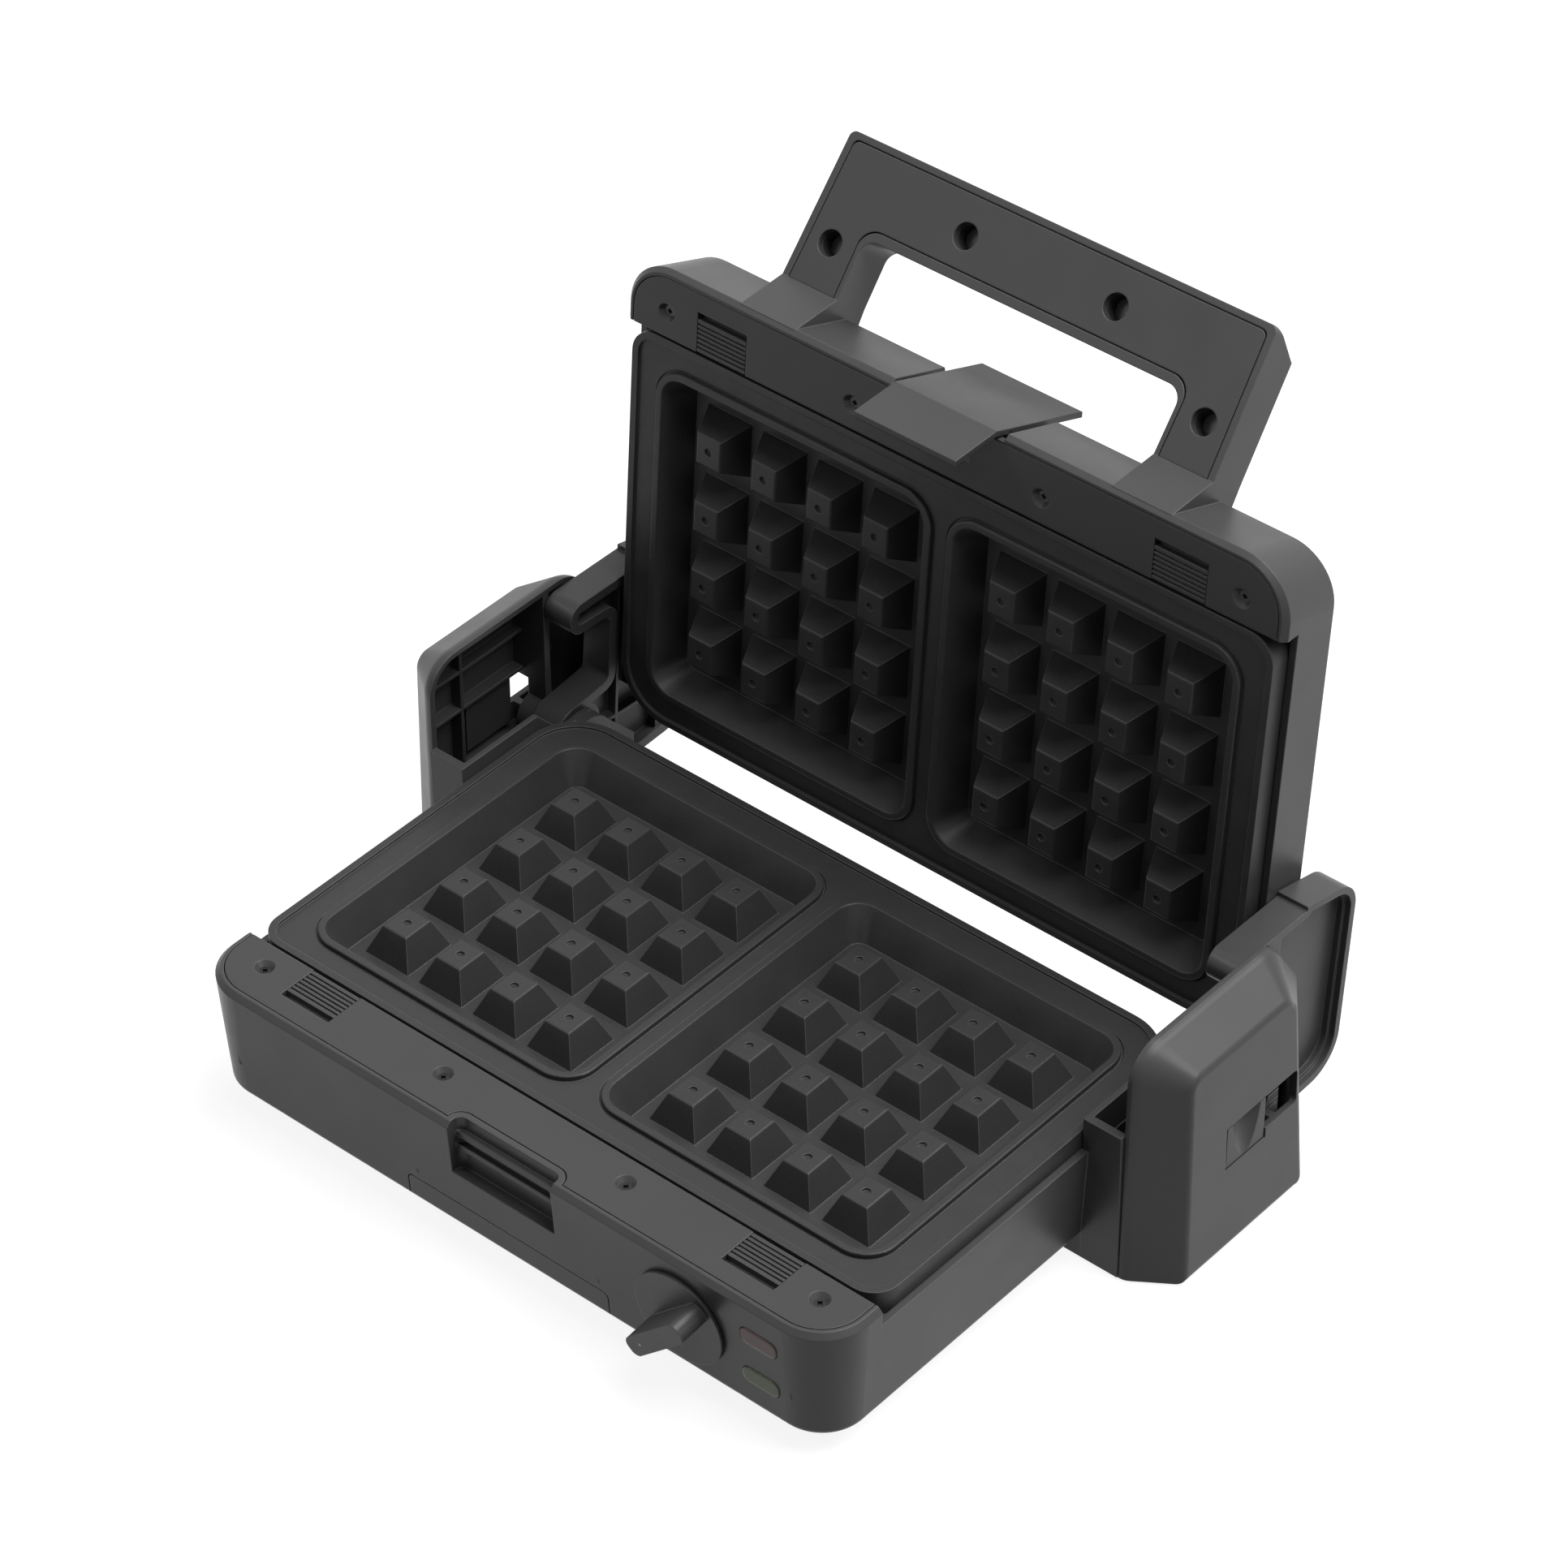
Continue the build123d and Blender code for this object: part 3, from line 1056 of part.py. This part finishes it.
def make_reflector(half, name):
    """Sheet tray under a plate, with saddles that carry the element."""
    edge = PLATE_T + SHELF_W
    floor = REFLECTOR_D
    with BuildPart() as tray:
        add(slab(half, plate_outline(edge), floor - REFLECTOR_WALL_H, floor + REFLECTOR_T))
        add(slab(half, plate_outline(edge + REFLECTOR_T), floor - REFLECTOR_WALL_H, floor),
            mode=Mode.SUBTRACT)
        for x in (-ELEMENT_X / 2, ELEMENT_X / 2):
            for y in (0, MOULD_Y * 2):
                saddle = box(x - SADDLE_L / 2, x + SADDLE_L / 2, y - SADDLE_W / 2, y + SADDLE_W / 2)
                add(slab(half, saddle, ELEMENT_D + ELEMENT_R + SEAT_GAP / 2, floor))
        end = MOULD_Y + MOULD_HALF_L
        clamp = box(-CLAMP_L / 2, CLAMP_L / 2, end - CLAMP_IN - CLAMP_W / 2, end - CLAMP_IN + CLAMP_W / 2)
        add(slab(half, clamp, ELEMENT_D, floor))
        across_end = Plane(half.from_local_coords((0, end, ELEMENT_D)), x_dir=half.x_dir, z_dir=half.y_dir)
        with Locations(across_end):
            with Locations((-ELEMENT_END_X, 0), (ELEMENT_END_X, 0)):
                Cylinder(ELEMENT_R + PIN_GAP, CLAMP_L, mode=Mode.SUBTRACT)
    finish(tray, name)


def make_fuse(half, name):
    """Thermal cut-out that lies on the back of a reflector, with a tab at each end."""
    seat = REFLECTOR_D + REFLECTOR_T
    with BuildPart() as fuse:
        add(slab(half, box(-FUSE_L / 2, FUSE_L / 2, MOULD_Y - FUSE_W / 2, MOULD_Y + FUSE_W / 2), seat,
                 seat + REFLECTOR_T))
        add(slab(half, box(-FUSE_L / 4, FUSE_L / 4, MOULD_Y - FUSE_W / 2, MOULD_Y + FUSE_W / 2), seat,
                 seat + FUSE_T))
    finish(fuse, name)


for half, word in ((LOWER, "lower"), (UPPER, "upper")):
    make_element(half, f"{word}_heating_element")
    make_reflector(half, f"{word}_reflector")
    make_fuse(half, f"thermal_fuse_{word}")

with BuildPart() as terminal_block:
    footprint = box(-TERMINAL_L / 2, TERMINAL_L / 2, TERMINAL_Y - TERMINAL_W / 2,
                    TERMINAL_Y + TERMINAL_W / 2)
    add(slab(LOWER, footprint, BASE_DEPTH - WALL - TERMINAL_T, BASE_DEPTH - WALL))
    with BuildSketch(LOWER.offset(BASE_DEPTH - WALL - TERMINAL_T)):
        with Locations((0, TERMINAL_Y)):
            with GridLocations(TERMINAL_L / 3, TERMINAL_W / 2, 3, 2):
                Circle(SCREW_R)
    extrude(amount=TERMINAL_T / 2, mode=Mode.SUBTRACT)
finish(terminal_block, "terminal_block")

with BuildPart() as cord_gland:
    with BuildSketch(GLAND.offset(-WALL - SEAT_GAP)):
        Circle(GLAND_R)
    extrude(amount=WALL + 2 * SEAT_GAP)
    with BuildSketch(GLAND.offset(FIT_GAP)):
        Circle(GLAND_R + GLAND_FLANGE)
    extrude(amount=GLAND_FLANGE)
    with BuildSketch(GLAND.offset(-WALL - FIT_GAP)):
        Circle(GLAND_R + GLAND_FLANGE)
    extrude(amount=-GLAND_FLANGE)
    with BuildSketch(GLAND):
        Circle(GLAND_BORE)
    extrude(amount=GLAND_R * 2, both=True, mode=Mode.SUBTRACT)
finish(cord_gland, "cord_gland")


# Knob, its thermostat, the lamps and their board
KNOB = Plane(FACE.from_local_coords((KNOB_X, on_face(KNOB_Z), 0)), x_dir=FACE.x_dir, z_dir=FACE.z_dir)
with BuildPart() as knob:
    with BuildSketch(KNOB.offset(SEAT_GAP)):
        Circle(KNOB_R)
    extrude(amount=KNOB_T)
    with BuildSketch(KNOB.offset(SEAT_GAP)):
        with Locations(Location((0, 0), GRIP_TURN)):
            RectangleRounded(GRIP_L, GRIP_W, GRIP_R)
    extrude(amount=KNOB_T + GRIP_H)
    with BuildSketch(KNOB.offset(SEAT_GAP)):
        Circle(SHAFT_R)
    extrude(amount=-SHAFT_L)
finish(knob, "knob")

with BuildPart() as thermostat:
    with BuildSketch(KNOB.offset(-WALL - COLLAR_L)):
        Circle(THERMOSTAT_R)
    extrude(amount=-THERMOSTAT_L)
    with BuildSketch(KNOB.offset(-WALL - COLLAR_L)):
        Circle(THERMOSTAT_R / 2)
    extrude(amount=COLLAR_L - SEAT_GAP)
    with BuildSketch(KNOB.offset(-WALL - COLLAR_L)):
        Circle(SHAFT_R + PIN_GAP)
    extrude(amount=-THERMOSTAT_L / 2, both=True, mode=Mode.SUBTRACT)
finish(thermostat, "thermostat")

for z, word in ((RED_Z, "red"), (GREEN_Z, "green")):
    with BuildPart() as lens:
        with BuildSketch(FACE.offset(SEAT_GAP)):
            with Locations((LAMP_X, on_face(z))):
                RectangleRounded(LAMP_W, LAMP_H, LAMP_R)
        extrude(amount=-LAMP_T)
    finish(lens, f"{word}_lens")

with BuildPart() as lamp_board:
    with BuildSketch(FACE.offset(-LAMP_T - SEAT_GAP)):
        with Locations((LAMP_X, on_face((RED_Z + GREEN_Z) / 2))):
            Rectangle(LAMP_W + BOARD_EDGE, RED_Z - GREEN_Z + LAMP_H)
    extrude(amount=-BOARD_T)
finish(lamp_board, "lamp_board")

# Feet under the front and pads under the pillars
with BuildPart() as rubber_feet:
    with BuildSketch():
        for side in (-1, 1):
            with Locations((side * (HOUSE_HALF_W - FOOT_IN), ROW_1_Y + PLATE_FRONT)):
                Circle(FOOT_R)
    extrude(amount=TOPS_Z - BASE_DEPTH)
    with BuildSketch():
        for side in (-1, 1):
            with Locations((side * (CHEEK_X + EAR_W / 2), ROW_1_Y + HINGE_Y - BLOCK_FRONT / 3)):
                RectangleRounded(EAR_W - PAD_T, BLOCK_FRONT, BLOCK_WALL)
    extrude(amount=PAD_T)
finish(rubber_feet, "rubber_feet")
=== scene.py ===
import json
from math import cos, radians, sin

import bmesh
import bpy
from mathutils import Matrix, Vector


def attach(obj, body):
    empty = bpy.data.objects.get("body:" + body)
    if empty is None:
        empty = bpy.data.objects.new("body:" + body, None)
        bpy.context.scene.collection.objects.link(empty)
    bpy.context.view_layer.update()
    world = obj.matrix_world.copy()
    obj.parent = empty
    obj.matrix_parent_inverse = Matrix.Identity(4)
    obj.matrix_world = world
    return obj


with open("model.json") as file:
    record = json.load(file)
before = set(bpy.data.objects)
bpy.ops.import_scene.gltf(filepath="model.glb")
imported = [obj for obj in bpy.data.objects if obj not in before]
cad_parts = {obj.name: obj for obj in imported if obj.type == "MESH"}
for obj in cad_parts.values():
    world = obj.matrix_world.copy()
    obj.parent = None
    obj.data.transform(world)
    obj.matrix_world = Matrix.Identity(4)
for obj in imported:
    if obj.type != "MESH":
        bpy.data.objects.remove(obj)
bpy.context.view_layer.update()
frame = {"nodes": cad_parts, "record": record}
nodes = frame["nodes"]
scene = bpy.context.scene
scene.view_settings.view_transform = "Standard"

MM = 0.001
BENCH_HALF_L = 6
FLOOR_BOUNCE = 0.1
FLOOR_GLOW = 0.88
WORLD_LIGHT = 0.06

# Finishes: how glossy plastic and coating are, how far their edges are rounded, and how much
# lighter their edges are painted as a highlight
GLOSS = 0.24
PLASTIC_EDGE_R = 0.6 * MM
PLASTIC_EDGE_HIGHLIGHT = 2.1
COATING_EDGE_R = 0.5 * MM
COATING_EDGE_HIGHLIGHT = 3.6
LENS_EDGE_R = 1.2 * MM

# Camera: the photograph's viewing angle and place
VIEW_TURN = radians(40.3984)
VIEW_RISE = radians(39.638)
EYE = Vector((931.15, -1090.91, 1311.09)) * MM
LENS = 133.23
SENSOR_W = 36
NEAREST = 0.05
FURTHEST = 20


def aim_camera():
    """Camera level with the horizon, turned and tipped as the photograph was taken."""
    right = Vector((cos(VIEW_TURN), sin(VIEW_TURN), 0))
    back = Vector((sin(VIEW_TURN) * cos(VIEW_RISE), -cos(VIEW_TURN) * cos(VIEW_RISE),
                   sin(VIEW_RISE)))
    up = back.cross(right)
    camera = bpy.data.objects.new("camera", bpy.data.cameras.new("camera"))
    turn = Matrix((right, up, back)).transposed().to_4x4()
    camera.matrix_world = Matrix.Translation(EYE) @ turn
    camera.data.lens = LENS
    camera.data.sensor_width = SENSOR_W
    camera.data.clip_start = NEAREST
    camera.data.clip_end = FURTHEST
    scene.collection.objects.link(camera)
    scene.camera = camera


aim_camera()


# Materials
class Finish:
    """A material whose nodes are laid one after another; every pattern reads Object coordinates."""

    def __init__(self, name):
        self.material = bpy.data.materials.new(name)
        self.material.use_nodes = True
        self.tree = self.material.node_tree
        self.shader = self.tree.nodes["Principled BSDF"]
        self.place = self.tree.nodes.new("ShaderNodeTexCoord").outputs["Object"]

    def node(self, kind, links=(), **values):
        made = self.tree.nodes.new(kind)
        for key, value in values.items():
            setattr(made, key, value)
        for socket, source in dict(links).items():
            if isinstance(source, bpy.types.NodeSocket):
                self.tree.links.new(source, made.inputs[socket])
            else:
                made.inputs[socket].default_value = source
        return made

    def noise(self, scale, detail=3.0, roughness=0.55):
        made = self.node("ShaderNodeTexNoise", {"Vector": self.place, "Scale": scale,
                                                "Detail": detail, "Roughness": roughness})
        return made.outputs["Fac"]

    def spread(self, source, low, high, start=0.3, end=0.7):
        made = self.node("ShaderNodeMapRange", {"Value": source, "From Min": start, "From Max": end,
                                                "To Min": low, "To Max": high})
        return made.outputs["Result"]

    def shade(self, source, dark, light):
        """Colour between two others, picked by a pattern."""
        made = self.node("ShaderNodeMix", {"Factor": source}, data_type="RGBA")
        made.inputs["A"].default_value = (*dark, 1)
        made.inputs["B"].default_value = (*light, 1)
        return made.outputs["Result"]

    def bump(self, height, distance, normal=None):
        links = {"Height": height, "Distance": distance, "Strength": 1.0}
        if normal is not None:
            links["Normal"] = normal
        return self.node("ShaderNodeBump", links).outputs["Normal"]

    def edge_highlight_mask(self, radius):
        """0 on a face and 1 along its edges, from how far the rounded normal leans: the mask for
        painted edge highlights.
        """
        rounded = self.node("ShaderNodeBevel", {"Radius": radius}, samples=6).outputs["Normal"]
        flat = self.node("ShaderNodeNewGeometry").outputs["Normal"]
        lean = self.node("ShaderNodeVectorMath", {0: rounded, 1: flat}, operation="DOT_PRODUCT")
        return rounded, self.spread(lean.outputs["Value"], 1.0, 0.0, 0.8, 0.99)

    def set(self, **sockets):
        for key, value in sockets.items():
            socket = self.shader.inputs[key.replace("_", " ").title()]
            if isinstance(value, bpy.types.NodeSocket):
                self.tree.links.new(value, socket)
            else:
                socket.default_value = value


def grey(level):
    return (level, level, level)


def moulded_plastic(name, level, roughness):
    """Satin moulded plastic: fine spark-eroded grain, faint cloudiness, and a painted highlight
    along its edges.
    """
    finish = Finish(name)
    cloud = finish.noise(18, 2)
    grain_height = finish.noise(2600, 2, 0.6)
    rounded, edges = finish.edge_highlight_mask(PLASTIC_EDGE_R)
    base = finish.shade(finish.spread(cloud, 0, 1), grey(level * 0.95), grey(level * 1.05))
    # Painted highlight: the edges are coloured several times lighter than the face.
    edge_highlit = finish.node("ShaderNodeMix", {"Factor": edges}, data_type="RGBA")
    finish.tree.links.new(base, edge_highlit.inputs["A"])
    edge_highlit.inputs["B"].default_value = (*grey(level * PLASTIC_EDGE_HIGHLIGHT), 1)
    rub = finish.spread(finish.noise(55, 4), roughness - 0.035, roughness + 0.035)
    finish.set(base_color=edge_highlit.outputs["Result"], roughness=rub,
               normal=finish.bump(grain_height, 0.012 * MM, rounded))
    finish.shader.inputs["Specular IOR Level"].default_value = GLOSS
    return finish.material


def coated_metal(name, level, roughness):
    """Dark non-stick coating on cast aluminium: faint orange peel and flecks."""
    finish = Finish(name)
    peel = finish.noise(900, 3, 0.5)
    sway = finish.noise(60, 2)
    fleck = finish.spread(finish.noise(3500, 1), 0, 1, 0.62, 0.7)
    rounded, edges = finish.edge_highlight_mask(COATING_EDGE_R)
    base = finish.shade(fleck, grey(level), grey(level * 1.6))
    # Painted highlight: the coating's edges are coloured several times lighter than its face.
    edge_highlit = finish.node("ShaderNodeMix", {"Factor": edges}, data_type="RGBA")
    finish.tree.links.new(base, edge_highlit.inputs["A"])
    edge_highlit.inputs["B"].default_value = (*grey(level * COATING_EDGE_HIGHLIGHT), 1)
    waves = finish.bump(sway, 0.15 * MM, rounded)
    finish.set(base_color=edge_highlit.outputs["Result"],
               roughness=finish.spread(finish.noise(120, 3), roughness - 0.04, roughness + 0.05),
               normal=finish.bump(peel, 0.03 * MM, waves))
    finish.shader.inputs["Specular IOR Level"].default_value = GLOSS
    return finish.material


def bare_metal(name, colour, roughness, stretch=(1, 1, 1), heat=0.0):
    """Plain metal with fine drawn lines; heat darkens it in patches."""
    finish = Finish(name)
    scaled = finish.node("ShaderNodeMapping", {"Vector": finish.place, "Scale": stretch})
    drawn = finish.node("ShaderNodeTexNoise", {"Vector": scaled.outputs["Vector"], "Scale": 700,
                                               "Detail": 3})
    lines = drawn.outputs["Fac"]
    patch = finish.spread(finish.noise(45, 3), 0, 1)
    dark = tuple(c * (1 - heat) for c in colour)
    finish.set(base_color=finish.shade(patch, dark, colour), metallic=1.0,
               roughness=finish.spread(lines, roughness - 0.06, roughness + 0.08),
               normal=finish.bump(lines, 0.02 * MM))
    return finish.material


def soft_rubber(name, level):
    """Dull rubber with a little pale dust on it."""
    finish = Finish(name)
    dust = finish.spread(finish.noise(300, 4), 0, 1, 0.45, 0.8)
    finish.set(base_color=finish.shade(dust, grey(level), grey(level * 2)), roughness=0.85,
               normal=finish.bump(finish.noise(1800, 3), 0.04 * MM))
    return finish.material


def lamp_lens(name, deep, rim):
    """Tinted lens over an unlit lamp: dull on its face, with a painted highlight in a paler rim
    colour along its rounded edge.
    """
    finish = Finish(name)
    rounded, edges = finish.edge_highlight_mask(LENS_EDGE_R)
    ripple = finish.spread(finish.noise(160, 1), 0.85, 1.1)
    # Painted highlight: the rounded edge takes the paler rim colour.
    body = finish.node("ShaderNodeMix", {"Factor": edges}, data_type="RGBA")
    body.inputs["A"].default_value = (*deep, 1)
    body.inputs["B"].default_value = (*rim, 1)
    tint = finish.node("ShaderNodeVectorMath", {0: body.outputs["Result"], "Scale": ripple},
                       operation="SCALE")
    finish.set(base_color=tint.outputs["Vector"], roughness=0.16,
               normal=finish.bump(finish.noise(500, 2), 0.01 * MM, rounded))
    finish.shader.inputs["Specular IOR Level"].default_value = GLOSS
    return finish.material


def board_green(name):
    """Green lacquer with raised tracks."""
    finish = Finish(name)
    tracks = finish.node("ShaderNodeTexVoronoi", {"Vector": finish.place, "Scale": 260},
                         distance="MANHATTAN").outputs["Distance"]
    finish.set(base_color=finish.shade(finish.spread(tracks, 0, 1, 0.3, 0.4), (0.02, 0.1, 0.04),
                                       (0.04, 0.22, 0.09)),
               roughness=0.4, normal=finish.bump(tracks, 0.05 * MM))
    return finish.material


def white_paint(name):
    """Printed white paint, slightly uneven."""
    finish = Finish(name)
    finish.set(base_color=finish.shade(finish.spread(finish.noise(900, 3), 0, 1), grey(0.6),
                                       grey(0.75)),
               roughness=0.5, normal=finish.bump(finish.noise(4000, 2), 0.01 * MM))
    return finish.material


def fired_ceramic(name):
    """Cream ceramic, mottled and faintly rough."""
    finish = Finish(name)
    finish.set(base_color=finish.shade(finish.spread(finish.noise(90, 5), 0, 1), (0.62, 0.59, 0.52),
                                       (0.78, 0.76, 0.7)),
               roughness=0.7, normal=finish.bump(finish.noise(1500, 3), 0.03 * MM))
    return finish.material


finishes = {
    "housing": moulded_plastic("housing_plastic", 0.054, 0.36),
    "strip": moulded_plastic("strip_plastic", 0.05, 0.38),
    "knob": moulded_plastic("knob_plastic", 0.05, 0.34),
    "button": moulded_plastic("button_plastic", 0.05, 0.4),
    "plate": coated_metal("non_stick_coating", 0.034, 0.42),
    "sheet": bare_metal("bright_sheet", (0.72, 0.72, 0.73), 0.3, (1, 12, 1)),
    "element": bare_metal("element_tube", (0.3, 0.27, 0.25), 0.42, (1, 1, 8), 0.45),
    "steel": bare_metal("screw_steel", (0.05, 0.05, 0.052), 0.36, (1, 1, 6), 0.2),
    "rubber": soft_rubber("foot_rubber", 0.012),
    "ceramic": fired_ceramic("fired_ceramic"),
    # Each lens's second colour is the painted highlight along its edge.
    "red_lens": lamp_lens("red_lamp_lens", (0.14, 0.055, 0.052), (0.24, 0.13, 0.12)),
    "green_lens": lamp_lens("green_lamp_lens", (0.11, 0.15, 0.06), (0.2, 0.26, 0.14)),
    "board": board_green("lamp_board_lacquer"),
}
slot_of = {row["node"]: row["material_slot"] for row in frame["record"]["subparts"]}


def dress(piece, slot):
    """Gives a piece the finish of a slot in place of whatever it came with."""
    piece.data.materials.clear()
    piece.data.materials.append(finishes[slot])


for name, piece in nodes.items():
    dress(piece, slot_of[name])

# The white dot on the knob
FACE_SLOPE = 0.0794
DOT_R = 0.55 * MM
DOT_DOWN = 9 * MM
DOT_FLATNESS = 0.2
GRIP_FACE_DEPTH = 0.02 * MM


def knob_dot():
    """Painted dot near the lower end of the grip, found from the grip's front face."""
    out = Vector((0, -1, -FACE_SLOPE)).normalized()
    up = Vector((0, -FACE_SLOPE, 1)).normalized()
    points = [v.co for v in nodes["knob"].data.vertices]
    front = max(p.dot(out) for p in points)
    rim = [p for p in points if front - p.dot(out) < GRIP_FACE_DEPTH]
    middle = sum(rim, Vector()) / len(rim)
    along = (Vector((1, 0, 0)) + up).normalized()
    shape = bmesh.new()
    bmesh.ops.create_uvsphere(shape, u_segments=24, v_segments=12, radius=DOT_R)
    bmesh.ops.scale(shape, vec=(1, 1, DOT_FLATNESS), verts=shape.verts)
    facing = out.to_track_quat("Z", "Y").to_matrix().to_4x4()
    place = Matrix.Translation(middle - along * DOT_DOWN) @ facing
    bmesh.ops.transform(shape, matrix=place, verts=shape.verts)
    dot = bpy.data.objects.new("knob_dot", bpy.data.meshes.new("knob_dot"))
    shape.to_mesh(dot.data)
    shape.free()
    dot.data.shade_smooth()
    dot.data.materials.append(white_paint("dot_paint"))
    scene.collection.objects.link(dot)
    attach(dot, "knob")


knob_dot()

# Floor, world and lamps
bench = bpy.data.objects.new("bench", bpy.data.meshes.new("bench"))
bm = bmesh.new()
bmesh.ops.create_grid(bm, x_segments=1, y_segments=1, size=BENCH_HALF_L)
bm.to_mesh(bench.data)
bm.free()
scene.collection.objects.link(bench)


def seen_directly(tree):
    """1 for rays from the eye, or by way of a gloss or a lens, and 0 for light that bounces."""
    path = tree.nodes.new("ShaderNodeLightPath")
    shown = path.outputs["Is Camera Ray"]
    for other in ("Is Glossy Ray", "Is Transmission Ray"):
        either = tree.nodes.new("ShaderNodeMath")
        either.operation = "MAXIMUM"
        tree.links.new(shown, either.inputs[0])
        tree.links.new(path.outputs[other], either.inputs[1])
        shown = either.outputs[0]
    return shown


def pale_floor():
    """Floor that is white to the eye and takes a shadow, but throws little light back up."""
    finish = Finish("pale_floor")
    seen = seen_directly(finish.tree)
    mottle = finish.shade(finish.spread(finish.noise(3, 2), 0, 1), grey(0.24), grey(0.26))
    matte = finish.node("ShaderNodeBsdfDiffuse", {"Color": mottle})
    dim = finish.node("ShaderNodeBsdfDiffuse", {"Color": (*grey(FLOOR_BOUNCE), 1)})
    glow = finish.node("ShaderNodeEmission", {"Color": (1, 1, 1, 1), "Strength": FLOOR_GLOW})
    lit = finish.node("ShaderNodeAddShader", {0: matte.outputs[0], 1: glow.outputs[0]})
    mixed = finish.node("ShaderNodeMixShader", {0: seen, 1: dim.outputs[0], 2: lit.outputs[0]})
    finish.tree.links.new(mixed.outputs[0], finish.tree.nodes["Material Output"].inputs["Surface"])
    return finish.material


bench.data.materials.append(pale_floor())

world = bpy.data.worlds.new("studio")
scene.world = world
world.use_nodes = True
sky = world.node_tree.nodes["Background"]
level = world.node_tree.nodes.new("ShaderNodeMapRange")
level.inputs["To Min"].default_value = WORLD_LIGHT
world.node_tree.links.new(seen_directly(world.node_tree), level.inputs["Value"])
world.node_tree.links.new(level.outputs["Result"], sky.inputs["Strength"])
sky.inputs["Color"].default_value = (1, 1, 1, 1)


def softbox(name, place, target, size, power):
    lamp = bpy.data.objects.new(name, bpy.data.lights.new(name, "AREA"))
    lamp.data.shape = "RECTANGLE"
    lamp.data.size, lamp.data.size_y = size
    lamp.data.energy = power
    lamp.location = place
    lamp.rotation_mode = "QUATERNION"
    lamp.rotation_quaternion = (Vector(target) - Vector(place)).to_track_quat("-Z", "Y")
    scene.collection.objects.link(lamp)


softbox("top_softbox", (0.7, 0.6, 2.1), (0, 0, 0.1), (2.2, 1.8), 84)
softbox("back_softbox", (-1.4, 1.8, 1.2), (0, 0, 0.15), (1.8, 1.6), 2)
softbox("right_softbox", (2.1, 0.3, 1.4), (0, 0, 0.1), (1.0, 1.4), 1)
softbox("left_softbox", (-2.2, -1.0, 1.2), (0, 0, 0.1), (1.2, 1.4), 1)
softbox("front_left_softbox", (-1.2, -1.6, 2.1), (0, 0, 0.15), (0.7, 0.7), 9)
